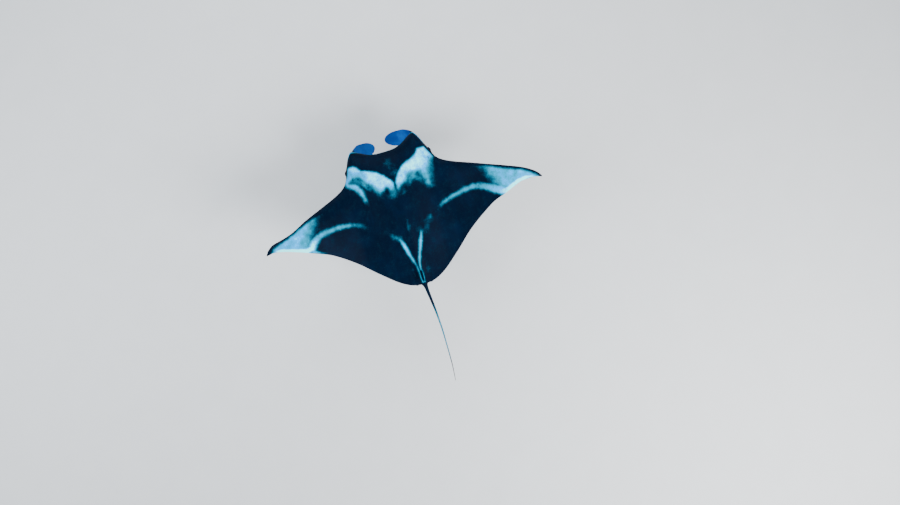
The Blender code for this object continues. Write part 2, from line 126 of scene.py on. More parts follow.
@dataclass(frozen=True)
class Outline:
    """The ray seen from above, as lines of (reach, ahead)."""

    front_left: Line = (
        (0.0, 1.553), (0.1, 1.554), (0.19, 1.568), (0.28, 1.602), (0.35, 1.634), (0.377, 1.64),
        (0.402, 1.612), (0.428, 1.568), (0.464, 1.478), (0.505, 1.356), (0.57, 1.27), (0.66, 1.212),
        (0.82, 1.135), (1.03, 1.042), (1.22, 0.948), (1.34, 0.914), (1.45, 0.89), (1.52, 0.845),
        (1.55, 0.805),
    )
    front_right: Line = (
        (0.0, 1.553), (0.09, 1.557), (0.16, 1.577), (0.25, 1.622), (0.31, 1.656), (0.335, 1.664),
        (0.362, 1.64), (0.394, 1.587), (0.42, 1.525), (0.45, 1.45), (0.48, 1.384), (0.505, 1.338),
        (0.57, 1.278), (0.68, 1.219), (0.85, 1.146), (1.05, 1.062), (1.21, 0.998), (1.36, 0.936),
        (1.46, 0.88), (1.52, 0.832), (1.55, 0.791),
    )
    rear: Line = ((0.0, 0.016), (0.11, 0.033), (0.22, 0.082), (0.44, 0.256), (0.66, 0.455), (0.88, 0.608))
    rear_left: Line = ((1.02, 0.668), (1.2, 0.737), (1.36, 0.788), (1.46, 0.806), (1.55, 0.795))
    rear_right: Line = ((1.0, 0.676), (1.1, 0.71), (1.23, 0.763), (1.34, 0.797), (1.45, 0.801), (1.55, 0.78))

    def both(self, across: Array, left: Line, right: Line) -> Array:
        """Reads a line that differs from side to side."""
        reach = np.abs(across)
        return np.where(np.asarray(across) > 0, Profile(left).at(reach), Profile(right).at(reach))

    def front_edge(self, across: Array) -> Array:
        """How far ahead the front edge lies."""
        return self.both(across, self.front_left, self.front_right)

    def rear_edge(self, across: Array) -> Array:
        """How far ahead the rear edge lies."""
        return self.both(across, self.rear + self.rear_left, self.rear + self.rear_right)


@dataclass
class EyeSeat:
    """Where an eye lies in the side of the head."""

    side: Side
    outline: Outline = field(default_factory=Outline)
    ahead: float = 1.425
    level: float = 0.012
    radius: float = 0.03
    proud: float = 0.02
    search: Pair = (0.36, 0.505)
    near: float = 0.01

    def __post_init__(self) -> None:
        """Finds the place on the outline, and the way out of the head there."""
        reach = np.linspace(*self.search, FINE)
        edge = self.outline.front_edge(reach * self.side.value)
        spot = float(reach[np.argmin(np.abs(edge - self.ahead))])
        ends = self.outline.front_edge(np.array([spot - self.near, spot + self.near]) * self.side.value)
        slope = float(ends[1] - ends[0]) / (2 * self.near)
        self.seat = place(self.side.value * spot, self.ahead, self.level)
        self.outward = Vector((-slope * self.side.value, -1.0, 0.0)).normalized()
        self.centre = self.seat - self.outward * (self.radius - self.proud)


@dataclass
class Body:
    """The ray's body as closed sections from wing tip to wing tip.

    Each section starts at the back of the mouth, runs out over the upper lip and along the back to the rear
    edge, and comes home along the belly and over the lower lip.
    """

    outline: Outline = field(default_factory=Outline)
    tip: float = 1.55
    thickness: Profile = Profile((
        (0.0, 0.37), (0.15, 0.355), (0.3, 0.305), (0.4, 0.245), (0.46, 0.2), (0.52, 0.16), (0.6, 0.13),
        (0.75, 0.1), (1.0, 0.066), (1.25, 0.036), (1.45, 0.016), (1.55, 0.007),
    ))
    nose: Profile = Profile((
        (0.0, 0.44), (0.2, 0.41), (0.32, 0.33), (0.42, 0.25), (0.55, 0.22), (0.8, 0.17), (1.1, 0.12),
        (1.3, 0.08), (1.45, 0.04), (1.55, 0.006),
    ))
    lift_left: Line = (
        (0.0, 0.0), (0.3, 0.0), (0.5, 0.028), (0.68, 0.115), (0.86, 0.215), (1.04, 0.29), (1.2, 0.32),
        (1.36, 0.298), (1.55, 0.215),
    )
    lift_right: Line = (
        (0.0, 0.0), (0.3, 0.0), (0.5, 0.028), (0.68, 0.115), (0.86, 0.22), (1.04, 0.3), (1.2, 0.337),
        (1.36, 0.33), (1.55, 0.27),
    )
    trail_drop: Profile = Profile(((0.0, 0.0), (0.35, 0.012), (0.7, 0.045), (1.1, 0.05), (1.55, 0.01)))
    trail_half: Profile = Profile(
        ((0.0, 0.027), (0.0275, 0.023), (0.05, 0.012), (0.09, 0.006), (0.2, 0.004), (1.55, 0.0025))
    )
    upper_share: float = 0.54
    taper: float = 1.35
    mouth_half: float = 0.25
    mouth_gape: float = 0.046
    gape_most: float = 0.5
    mouth_corner: float = 0.01
    mouth_depth: float = 0.3
    mouth_level: float = -0.02
    mouth_bulge: float = 0.55
    mouth_fade: Pair = (0.2, 0.48)
    jaw_setback: float = 0.026
    jaw_back: float = 0.45
    lip: float = 0.013
    lip_most: float = 0.45
    cap: float = 0.004
    mound_height: float = 0.011
    mound_spread: float = 0.052
    arch_height: float = 0.007
    arch_pitch: float = 0.05
    arch_start: Pair = (0.06, 0.1)
    arch_end: Pair = (0.24, 0.28)
    head_half: float = 0.52
    step_head: float = 0.009
    step_wing: float = 0.0135
    step_slant: float = 0.85
    near: float = 0.04
    inner_points: int = 40
    lip_points: int = 5
    outer_points: int = 100
    cap_points: int = 3
    fine_inner: int = 90
    fine_outer: int = 700
    crowding: float = 2.4
    spacing_upper: Profile = Profile((
        (0.0, 0.45), (0.08, 0.9), (0.25, 1.0), (0.88, 1.0), (0.96, 0.45), (1.0, 0.3),
    ))
    spacing_lower: Profile = Profile((
        (0.0, 0.45), (0.08, 0.8), (0.15, 0.62), (0.2, 0.5), (0.41, 0.5), (0.48, 1.1), (0.88, 1.1),
        (0.96, 0.5), (1.0, 0.35),
    ))

    def stations(self) -> Array:
        """Places across the body at which sections are laid, at even steps along the front edge.

        Returns:
            The places, from the right wing tip to the left.
        """
        halves = []
        for side in Side:
            reach = np.linspace(0.0, self.tip, FINE)
            edge = self.outline.front_edge(reach * side.value)
            size = np.where(reach < self.head_half, self.step_head, self.step_wing)
            steps = np.hypot(np.diff(reach), self.step_slant * np.diff(edge)) / size[1:]
            walked = np.concatenate([[0.0], np.cumsum(steps)])
            count = round(float(walked[-1]))
            halves.append(side.value * np.interp(np.arange(count + 1) / count * walked[-1], walked, reach))
        return np.concatenate([halves[1][:0:-1], halves[0]])

    def height(self, back: Array, half: Array, across: Array) -> Array:
        """Level of the skin on its upper or lower side.

        Args:
            back: how far behind the front edge.
            half: half thickness of the body on that side, negative for the lower.
            across: the section's place.

        Returns:
            The levels above the mid plane.
        """
        reach = np.abs(across)
        chord = self.outline.front_edge(across) - self.outline.rear_edge(across)
        share = back / chord
        inside = np.clip(back / np.minimum(self.nose.at(reach), chord), 0.0, 1.0)
        swell = np.sqrt(np.maximum(0.0, 1 - (1 - inside) ** 2))
        lip_level = self.mouth_level * (1 - ease(*self.mouth_fade, reach))
        lift = self.outline.both(across, self.lift_left, self.lift_right)
        middle = lift - self.trail_drop.at(reach) * share**2 + lip_level * (1 - swell)
        flesh = np.abs(half) * swell * np.maximum(0.0, 1 - share * share) ** self.taper
        return middle + np.sign(half) * (flesh + self.trail_half.at(reach) * share**3)

    def half(self, across: Array, up: bool) -> Array:
        """Half thickness of the body above (positive) or below (negative) its middle."""
        share = self.upper_share if up else self.upper_share - 1
        return self.thickness.at(np.abs(across)) * share

    def skin_level(self, across: float, ahead: float, up: bool) -> float:
        """Level of the skin of the back (up) or the belly at a place."""
        at = np.array([across])
        return float(self.height(self.outline.front_edge(at) - ahead, self.half(at, up), at)[0])

    def lie(self, across: float, ahead: float, up: bool, forward: bool) -> Pair:
        """How the skin of the back or the belly lies at a place.

        Args:
            across: the place across the body.
            ahead: the place along it.
            up: whether the back is wanted.
            forward: whether the slope is wanted towards the front, and not towards the left.

        Returns:
            The level there, and the slope.
        """
        step = np.array((0.0, self.near) if forward else (self.near, 0.0))
        low, high = (self.skin_level(*(np.array((across, ahead)) + way * step), up) for way in (-1, 1))
        return self.skin_level(across, ahead, up), (high - low) / (2 * self.near)

    def opening(self, across: Array) -> Array:
        """How far the mouth is open, from 0 outside its corners to 1 in the middle."""
        return np.sqrt(np.maximum(0.0, 1 - (across / self.mouth_half) ** 2))

    def gape(self, across: Array) -> Array:
        """Half the height at which the upper and lower skin part from the fold between them."""
        wanted = self.mouth_corner + (self.mouth_gape - self.mouth_corner) * self.opening(across)
        return np.minimum(wanted, -self.gape_most * self.half(across, False))

    def dense_half(self, across: Array, up: bool) -> tuple[Array, Array]:
        """Follows one side of every section closely.

        Args:
            across: the sections' places.
            up: whether the upper side is wanted.

        Returns:
            Two stacks of (back, level) lines: from the mouth's back wall to the lip, and on to the rear edge.
        """
        at = across[:, None]
        half = self.half(at, up)
        opening = self.opening(at)
        chord = self.outline.front_edge(at) - self.outline.rear_edge(at)
        nose = np.minimum(self.nose.at(np.abs(at)), chord)
        setback = 0.0 if up else self.jaw_setback
        turn = np.linspace(0.0, math.pi / 2, self.fine_inner)[None]
        rise = self.gape(at) * np.sin(turn)
        start = nose * (1 - np.sqrt(1 - (rise / np.abs(half)) ** 2))
        back = start + self.mouth_depth * opening * np.cos(turn) + setback * opening * np.sin(turn)
        roof = rise * (1 + self.mouth_bulge * opening * np.sin(2 * turn)) + self.arches(back - start, opening)
        lift = self.outline.both(at, self.lift_left, self.lift_right)
        level = lift + self.mouth_level * (1 - ease(*self.mouth_fade, np.abs(at))) + np.sign(half) * roof
        inner = np.stack([back, level], axis=-1)
        along = np.linspace(0.0, 1.0, self.fine_outer)[None] ** self.crowding
        first = start[:, -1:]
        back = first + (chord - first) * along
        level = self.height(back, half, at)
        back = back + setback * opening * (1 - ease(0.0, self.jaw_back, back))
        return inner, np.stack([back, level], axis=-1)

    def arches(self, deep: Array, opening: Array) -> Array:
        """Height of the ridges that cross the mouth's roof and floor, this deep inside it."""
        fade = band(self.arch_start, self.arch_end, deep) * opening**2
        return self.arch_height * (0.5 - 0.5 * np.cos(2 * math.pi * deep / self.arch_pitch)) * fade

    def sampled_half(self, across: Array, up: bool) -> Array:
        """Lays the section's points along one side, with the lip rounded off.

        Args:
            across: the sections' places.
            up: whether the upper side is wanted.

        Returns:
            A stack of lines of (back, level).
        """
        lines = []
        gape = self.gape(across)
        fine = np.linspace(0, 1, FINE // 2)
        spacing = self.spacing_upper if up else self.spacing_lower
        crowd = np.cumsum(1 / spacing.at(fine))
        share = np.interp(np.linspace(crowd[0], crowd[-1], self.outer_points), crowd, fine)
        for inner, outer, rise in zip(*self.dense_half(across, up), gape):
            radius = min(self.lip, self.lip_most * float(rise))
            walked_in, walked_out = walked(inner), walked(outer)
            inside = sample(inner, walked_in, np.linspace(0, 1, self.inner_points) * (walked_in[-1] - radius))
            outside = sample(outer, walked_out, radius + share * (walked_out[-1] - radius - self.cap))
            t = np.linspace(0, 1, self.lip_points + 2)[1:-1, None]
            lip = (1 - t) ** 2 * inside[-1] + 2 * t * (1 - t) * outer[0] + t * t * outside[0]
            lines.append(np.concatenate([inside, lip, outside]))
        return np.array(lines)

    def grid(self) -> tuple[Array, Array]:
        """Lays the whole body.

        Returns:
            Its points as sections by points round them, and each point's signed distance along the skin from
            the nearer of the front and rear edges, positive above.
        """
        across = self.stations()
        upper, lower = self.sampled_half(across, True), self.sampled_half(across, False)
        turn = np.linspace(0, math.pi, self.cap_points + 2)[1:-1][None, :, None]
        ends = (upper[:, -1:] + lower[:, -1:]) / 2, (upper[:, -1:] - lower[:, -1:]) / 2
        bulge = np.array([self.cap, 0.0])
        cap = ends[0] + ends[1] * np.cos(turn) + bulge * np.sin(turn)
        loop = np.concatenate([upper, cap, lower[:, :0:-1]], axis=1)
        x = np.broadcast_to(across[:, None], loop.shape[:2])
        y = ORIGIN_AHEAD - (self.outline.front_edge(across)[:, None] - loop[..., 0])
        points = np.stack([x, y, MID_HEIGHT + loop[..., 1]], axis=-1)
        lip = self.inner_points + self.lip_points // 2
        above, below = edge_distance(upper, lip), edge_distance(lower, lip)
        margin = np.concatenate([above, 0 * cap[..., 0], -below[:, :0:-1]], axis=1)
        return self.raise_mounds(points), margin

    def raise_mounds(self, points: Array) -> Array:
        """Raises the low mound round each eye.

        Args:
            points: points of the skin.

        Returns:
            The same points, those near an eye moved out.
        """
        for side in Side:
            eye = EyeSeat(side)
            near = np.linalg.norm(points - np.array(eye.seat), axis=-1) / self.mound_spread
            rise = self.mound_height * np.exp(-near * near)
            points = points + rise[..., None] * np.array(eye.outward)
        return points


def walked(line: Array) -> Array:
    """Distance along a line of points, from its start to each of them."""
    return np.concatenate([[0.0], np.cumsum(np.linalg.norm(np.diff(line, axis=0), axis=1))])


def sample(line: Array, distance: Array, at: Array) -> Array:
    """Reads a line of points, which lie at these distances along it, at others."""
    return np.stack([np.interp(at, distance, line[:, i]) for i in range(line.shape[1])], axis=1)


def edge_distance(lines: Array, lip: int) -> Array:
    """Distance along each line to the nearer of its lip and its end.

    Args:
        lines: the lines, each from inside the mouth by way of the lip to the rear edge.
        lip: the number of the point on the lip.

    Returns:
        The distances, 0 inside the mouth.
    """
    steps = np.linalg.norm(np.diff(lines, axis=1), axis=-1)
    along = np.concatenate([np.zeros((len(lines), 1)), np.cumsum(steps, axis=1)], axis=1)
    return np.maximum(0.0, np.minimum(along - along[:, lip : lip + 1], along[:, -1:] - along))


@dataclass
class Frame:
    """A place on the skin: a centre, two directions along the skin, and the way out of it."""

    centre: Array
    first: Array
    second: Array

    def __post_init__(self) -> None:
        """Squares the second direction to the first."""
        self.centre = np.array(self.centre, float)
        self.first = np.array(self.first, float) / np.linalg.norm(self.first)
        second = np.array(self.second, float)
        second = second - self.first * (second @ self.first)
        self.second = second / np.linalg.norm(second)
        self.out = np.cross(self.first, self.second)

    def local(self, points: Array) -> Array:
        """Turns points into (along first, along second, outward)."""
        return (points - self.centre) @ np.stack([self.first, self.second, self.out], axis=1)

    def world(self, local: Array) -> Array:
        """Turns (along first, along second, outward) into points."""
        return self.centre + local @ np.stack([self.first, self.second, self.out])


@dataclass
class Graft:
    """A feature grown out of, or sunk into, an oval patch of the body's skin.

    The oval has its radii in the frame, and takes in the skin at depths within a range. rings gives the
    feature's rings, for the angles round the oval at which the patch's edge has points, and values gives the
    attributes of each ring. chart is the room that the feature takes in the UV map. The other numbers are
    rounds of smoothing: of the join, of the skin beside it, and of the spacing round the oval.
    """

    frame: Frame
    radii: Pair
    depth: Pair
    rings: Callable[[Array], list[Array]]
    values: Callable[[Array, int], dict[str, Array | float]]
    chart: Pair
    smooth: int = 0
    relax: int = 3
    even: int = 12


class Hide:
    """One skin in the making: a grid of quads over the body, with grafts let into it."""

    names = ("margin", "pale", "inner", "mouth", "dark", "spots", "dusk")
    body_share = 0.84  # the body's share of the UV map's height
    body_gap, shelf_gap, chart_gap = 0.005, 0.003, 0.004  # gaps in the UV map
    ray_start, ray_length = 0.03, 0.08  # a ray that looks for the skin starts this far out of it
    fill_rounds = 3  # rounds of filling in the notches of a patch's edge
    least_step = 0.02  # least angle between neighbours on a patch's edge
    ease_rounds = 4  # rounds of easing the skin beside a patch
    join_rings = 5  # rings of a graft that its join is rounded over, with the patch's edge

    def __init__(self, points: Array, margin: Array) -> None:
        """Lays the grid.

        Args:
            points: sections by points round them.
            margin: signed distance from the edges, for each point.
        """
        rows, columns = points.shape[:2]
        self.points = [*points.reshape(-1, 3)]
        self.grid_size = rows, columns
        index = np.arange(rows * columns).reshape(rows, columns)
        ahead = np.roll(index, -1, axis=1)
        quads = np.stack([index[:-1], index[1:], ahead[1:], ahead[:-1]], axis=-1).reshape(-1, 4)
        i, j = np.divmod(np.arange((rows - 1) * columns), columns)
        corners = [(i, j), (i + 1, j), (i + 1, j + 1), (i, j + 1)]
        size = np.array([rows - 1, columns])
        uvs = np.stack([np.stack(corner, axis=-1) / size for corner in corners], axis=1)
        self.faces = [tuple(quad) for quad in quads]
        self.uvs = [*(uvs * (1.0, self.body_share))]
        self.live = np.ones(len(quads), bool)
        self.values = {name: [0.0] * (rows * columns) for name in self.names}
        self.values["margin"] = list(margin.reshape(-1))
        tree_points = [Vector(point) for point in self.points]
        self.tree = BVHTree.FromPolygons(tree_points, [tuple(int(k) for k in quad) for quad in quads])
        self.centres = points.reshape(-1, 3)[quads].mean(axis=1)
        self.quads = quads
        self.shelf = [0.0, self.body_share + self.body_gap, 0.0]

    def set_values(self, name: str, values: Array) -> None:
        """Sets an attribute of the grid's points."""
        count = self.grid_size[0] * self.grid_size[1]
        self.values[name][:count] = list(values.reshape(-1))

    def cap_ends(self) -> None:
        """Closes the wing tips."""
        rows, columns = self.grid_size
        for row, edge in ((0, 0.001), (rows - 1, 0.999)):
            ring = [row * columns + j for j in range(columns)]
            middle = self.add_point(np.mean([self.points[k] for k in ring], axis=0), ring[0])
            for one, other in zip(ring, ring[1:] + ring[:1]):
                face = (other, one, middle) if row else (one, other, middle)
                self.add_face(face, [(edge, 0.3)] * 3)

    def add_point(self, point: Array, like: int | None = None, values: dict[str, float] | None = None) -> int:
        """Adds a point.

        Args:
            point: where it is.
            like: a point whose attributes it takes.
            values: attributes that it has itself.

        Returns:
            Its number.
        """
        self.points.append(np.array(point, float))
        for name in self.names:
            given = (values or {}).get(name)
            copied = self.values[name][like] if like is not None else 0.0
            self.values[name].append(copied if given is None else float(given))
        return len(self.points) - 1

    def add_face(self, face: tuple[int, ...], uvs: list[Pair]) -> None:
        """Adds a face with a UV place for each of its corners."""
        self.faces.append(face)
        self.uvs.append(np.array(uvs))

    def chart(self, size: Pair) -> tuple[float, float]:
        """Finds room for a graft's UV map on shelves beside the body's.

        Args:
            size: the room it needs.

        Returns:
            The room's lowest corner.
        """
        if self.shelf[0] + size[0] > 1 + 1e-4:
            self.shelf = [0.0, self.shelf[1] + self.shelf[2] + self.shelf_gap, 0.0]
        corner = self.shelf[0], self.shelf[1]
        self.shelf = [self.shelf[0] + size[0], self.shelf[1], max(self.shelf[2], size[1])]
        return corner

    def boundary(self, patch: Array) -> list[int]:
        """Points round a patch of grid faces, in order, as the faces outside it run.

        Args:
            patch: which of the grid's faces are in the patch.

        Returns:
            The loop.
        """
        quads = [[int(k) for k in quad] for quad in self.quads[patch]]
        edges = dict.fromkeys(edge for quad in quads for edge in zip(quad, quad[1:] + quad[:1]))
        onward = {one: other for one, other in edges if (other, one) not in edges}
        start = next(iter(onward))
        loop = [start]
        while onward[loop[-1]] != start:
            loop.append(onward[loop[-1]])
            if len(loop) > len(onward):
                raise ValueError("a patch of skin has a hole or pinch in its edge")
        if len(loop) != len(onward):
            raise ValueError("a patch of skin is in more than one piece")
        return loop

    def patch_of(self, graft: Graft) -> Array:
        """Finds the grid faces in a graft's oval, with single notches filled in.

        Args:
            graft: the feature.

        Returns:
            Which of the grid's faces they are.
        """
        local = graft.frame.local(self.centres)
        oval = np.hypot(local[:, 0] / graft.radii[0], local[:, 1] / graft.radii[1]) < 1
        near = (local[:, 2] > graft.depth[0]) & (local[:, 2] < graft.depth[1])
        rows, columns = self.grid_size
        patch = (oval & near & self.live).reshape(rows - 1, columns)
        for _ in range(self.fill_rounds):
            sides = [np.roll(patch, shift, axis) for shift, axis in ((1, 0), (-1, 0), (1, 1), (-1, 1))]
            count = np.sum(sides, axis=0)
            patch = (patch & (count > 1)) | (count > 2)
        return patch.reshape(-1) & self.live

    def snap(self, graft: Graft, loop: list[int]) -> Array:
        """Moves a patch's edge on to the graft's oval, along the skin, and eases its neighbours after it.

        Args:
            graft: the feature.
            loop: the patch's edge.

        Returns:
            The angle round the oval of each point of the edge.
        """
        local = graft.frame.local(np.array([self.points[k] for k in loop]))
        angle = np.unwrap(np.arctan2(local[:, 1] / graft.radii[1], local[:, 0] / graft.radii[0]))
        steps = np.maximum(np.diff(np.append(angle, angle[0] + 2 * math.pi)), self.least_step)
        for _ in range(graft.even):
            steps = 0.5 * steps + 0.25 * (np.roll(steps, 1) + np.roll(steps, -1))
        even = angle[0] + np.concatenate([[0.0], np.cumsum(steps * 2 * math.pi / steps.sum())[:-1]])
        angle = even + np.mean(angle - even)
        for k, turn, level in zip(loop, angle, local[:, 2]):
            flat = np.array([graft.radii[0] * math.cos(turn), graft.radii[1] * math.sin(turn), 0.0])
            self.points[k] = self.onto_skin(graft.frame, flat, level)
        self.relax(graft, loop)
        return angle

    def onto_skin(self, frame_: Frame, flat: Array, level: float) -> Array:
        """Drops a place in a graft's plane on to the body's skin.

        Args:
            frame_: the graft's frame.
            flat: the place, in the frame's own directions.
            level: how far out the skin is thought to lie.

        Returns:
            The point on the skin.
        """
        start = Vector(frame_.world(flat + np.array([0.0, 0.0, level + self.ray_start])))
        hit = self.tree.ray_cast(start, Vector(-frame_.out), self.ray_length)[0]
        if hit is None:
            hit = self.tree.find_nearest(Vector(frame_.world(flat + np.array([0.0, 0.0, level]))))[0]
        return np.array(hit)

    def relax(self, graft: Graft, loop: list[int]) -> None:
        """Evens out the grid's points near a patch's edge, which stays where it is.

        Args:
            graft: the feature.
            loop: the patch's edge.
        """
        fixed = set(loop)
        rings: dict[int, int] = {}
        front = set(loop)
        for step in range(graft.relax + 1):
            near = [other for k in front for other in self.around(k)]
            front = {other for other in near if other not in fixed and other not in rings}
            rings.update((k, step) for k in front)
        inner = {k: step for k, step in rings.items() if len(self.around(k)) == 4}
        for _ in range(self.ease_rounds):
            for k, step in inner.items():
                middle = np.mean([self.points[near] for near in self.around(k)], axis=0)
                weight = 0.5 * (1 - step / (graft.relax + 1))
                wanted = self.points[k] + weight * (middle - self.points[k])
                self.points[k] = np.array(self.tree.find_nearest(Vector(wanted))[0])

    def around(self, point: int) -> list[int]:
        """The grid's points on each side of one of them, which are three at a wing tip.

        Args:
            point: the point.

        Returns:
            Its neighbours.
        """
        rows, columns = self.grid_size
        i, j = divmod(point, columns)
        sides = ((i + 1, j), (i - 1, j), (i, j + 1), (i, j - 1))
        return [a * columns + b % columns for a, b in sides if 0 <= a < rows]

    def graft(self, graft: Graft) -> list[int]:
        """Lets a graft into the skin.

        Args:
            graft: the feature.

        Returns:
            The points of the patch's edge, and those that the graft added.
        """
        patch = self.patch_of(graft)
        loop = self.boundary(patch)
        self.live &= ~patch
        angle = self.snap(graft, loop)
        rings = graft.rings(angle)
        corner = self.chart(graft.chart)
        count = len(loop)
        u = corner[0] + (graft.chart[0] - self.chart_gap) * np.arange(count + 1) / count
        v = corner[1] + graft.chart[1] * np.arange(len(rings) + 1) / len(rings)
        edge, added = loop, list(loop)
        for number, ring in enumerate(rings):
            values = {name: np.broadcast_to(at, count) for name, at in graft.values(angle, number).items()}
            laid = [
                self.add_point(point, loop[k], {name: value[k] for name, value in values.items()})
                for k, point in enumerate(ring)
            ]
            low, high = v[number], v[number + 1]
            for k in range(count):
                after = (k + 1) % count
                face = (edge[k], edge[after], laid[after], laid[k])
                self.add_face(face, [(u[k], low), (u[k + 1], low), (u[k + 1], high), (u[k], high)])
            edge = laid
            added += laid
        middle = self.add_point(np.mean([self.points[k] for k in edge], axis=0), edge[0])
        for k in range(count):
            self.add_face((edge[k], edge[(k + 1) % count], middle), [(u[k], v[-1])] * 3)
        added.append(middle)
        self.fillet(added, loop, graft.smooth)
        return added

    def fillet(self, added: list[int], loop: list[int], times: int) -> None:
        """Rounds the join between a graft and the skin round it.

        Args:
            added: the points of the edge, and the graft's own.
            loop: the edge.
            times: how many rounds of smoothing.
        """
        count = len(loop)
        edge = set(loop)
        rings = [added[k * count : (k + 1) * count] for k in range(self.join_rings)]
        for _ in range(times):
            for number, ring in enumerate(rings[:-1]):
                fresh = []
                for k, point in enumerate(ring):
                    beyond = self.points[rings[number + 1][k]]
                    if number:
                        before = self.points[rings[number - 1][k]]
                    else:
                        far = [o for o in self.around(point) if o not in edge and self.outside(o)]
                        before = np.mean([self.points[o] for o in far or [point]], axis=0)
                    sides = (self.points[ring[k - 1]] + self.points[ring[(k + 1) % count]]) / 2
                    wanted = 0.4 * (before + beyond) + 0.2 * sides
                    fresh.append((self.points[point] + wanted) / 2)
                for point, where in zip(ring, fresh):
                    self.points[point] = where

    def outside(self, point: int) -> bool:
        """Tells whether a point still belongs to the grid's skin.

        Args:
            point: the point.

        Returns:
            Whether any live face of the grid touches it.
        """
        rows, columns = self.grid_size
        i, j = divmod(point, columns)
        cells = [(a, b % columns) for a in (i - 1, i) for b in (j - 1, j) if 0 <= a < rows - 1]
        return any(self.live[a * columns + b] for a, b in cells)

    def mesh(self, name: str) -> bpy.types.Mesh:
        """Makes the skin's mesh, with its attributes and its UV map.

        Args:
            name: the mesh's name.

        Returns:
            The mesh.
        """
        kept = [k for k in range(len(self.faces)) if k >= len(self.live) or self.live[k]]
        used = sorted({int(k) for face in kept for k in self.faces[face]})
        number = {old: new for new, old in enumerate(used)}
        mesh = bpy.data.meshes.new(name)
        points = [tuple(self.points[k]) for k in used]
        mesh.from_pydata(points, [], [[number[int(k)] for k in self.faces[face]] for face in kept])
        for attribute in self.names:
            layer = mesh.attributes.new(attribute, "FLOAT", "POINT")
            layer.data.foreach_set("value", [self.values[attribute][k] for k in used])
        uv = mesh.uv_layers.new(name="OFBake")
        places = np.concatenate([self.uvs[face] for face in kept])
        uv.data.foreach_set("uv", places.astype(np.float32).ravel())
        mesh.shade_smooth()
        return mesh


def beside(spots: Array, start: Array, end: Array) -> tuple[Array, Array]:
    """Finds where each of a set of places lies beside a straight line.

    Args:
        spots: the places.
        start: the line's start.
        end: the line's end.

    Returns:
        How far along the line its nearest point lies, from 0 to 1, and the distance to it.
    """
    run = end - start
    along = np.clip((spots - start) @ run / max(float(run @ run), 1e-12), 0, 1)
    return along, np.linalg.norm(spots - start - along[:, None] * run, axis=1)


@dataclass(frozen=True)
class Patch:
    """A pale area of the back, with a crisp front edge that softens towards the rear.

    The edge blurs over crisp metres at the front, and over soft metres from reach_back behind it. The area
    fades out towards the body's middle over the range of fade, along a line that slants about turn_ahead.
    """

    edge: Line
    crisp: float
    soft: float
    reach_back: float = 0.2
    cap: float = 1.05
    fade: Pair = (-1.0, -0.5)
    fade_depth: float = 1.3
    slant: float = 0.0
    turn_ahead: float = 0.95
    crisp_back: float = 0.02
    clear_back: float = 0.05

    def value(self, spots: Array) -> Array:
        """How pale the patch makes each of these places, as 0.5 on its edge and rising inwards.

        Args:
            spots: places as (across, ahead).

        Returns:
            The values, at most cap.
        """
        corners = np.array(self.edge)
        inside = np.zeros(len(spots), bool)
        nearest = np.full(len(spots), np.inf)
        front = np.full(len(spots), -np.inf)
        for one, other in zip(corners, np.roll(corners, -1, axis=0)):
            nearest = np.minimum(nearest, beside(spots, one, other)[1])
            share = (spots[:, 0] - one[0]) / (other[0] - one[0] + 1e-9)
            level = one[1] + share * (other[1] - one[1])
            within = (share >= 0) & (share < 1)
            inside ^= within & (level > spots[:, 1])
            front = np.where(within, np.maximum(front, level), front)
        back = np.where(np.isfinite(front), front - spots[:, 1], self.clear_back)
        blur = self.crisp + (self.soft - self.crisp) * ease(self.crisp_back, self.reach_back, back)
        value = np.minimum(0.5 + np.where(inside, 1, -1) * nearest / blur, self.cap)
        outward = np.abs(spots[:, 0]) + self.slant * (spots[:, 1] - self.turn_ahead)
        return value - self.fade_depth * (1 - ease(*self.fade, outward))


@dataclass(frozen=True)
class Stroke:
    """A pale line of the back.

    Its points are (across, ahead, width, strength). Its edge blurs over blur metres, and its strength may
    fall off from its middle, by fall for each metre.
    """

    line: Rows
    blur: float
    fall: float = 0.0

    def value(self, spots: Array) -> Array:
        """How pale the line makes each of these places, as 0.5 on its edge and rising inwards.

        Args:
            spots: places as (across, ahead).

        Returns:
            The values, at most the line's strength.
        """
        best = np.full(len(spots), -np.inf)
        for one, other in zip(self.line, self.line[1:]):
            along, apart = beside(spots, np.array(one[:2]), np.array(other[:2]))
            width = one[2] + (other[2] - one[2]) * along
            strength = one[3] + (other[3] - one[3]) * along
            value = np.minimum(0.5 + (width / 2 - apart) / self.blur, strength - self.fall * apart)
            best = np.maximum(best, value)
        return best


@dataclass(frozen=True)
class EdgeHighlight:
    """A light line along the front edge, partly a slight pale edge of the skin and partly a painted
    highlight, which is broadest at the head's corners.

    Its width, the distance of its middle from the edge, its blur and its greatest value are each given for
    the plain edge, and then how much a corner adds.
    """

    corner_rise: Pair = (0.27, 0.365)
    corner_fall: Pair = (0.385, 0.49)
    width: Pair = (0.004, 0.01)
    middle: Pair = (0.01, 0.017)
    blur: Pair = (0.012, 0.01)
    most: Pair = (0.24, 0.62)
    end: Pair = (0.46, 0.52)

    def value(self, reach: Array, margin: Array) -> Array:
        """How pale the line makes places of the skin, as 0.5 on its edge.

        Args:
            reach: how far from the body's middle they lie.
            margin: signed distance of each from the edges.

        Returns:
            The values.
        """
        corner = band(self.corner_rise, self.corner_fall, reach)
        sizes = self.width, self.middle, self.blur, self.most
        width, middle, blur, most = (plain + more * corner for plain, more in sizes)
        return np.minimum(0.5 + (width - np.abs(margin - middle)) / blur, most - 2 * ease(*self.end, reach))


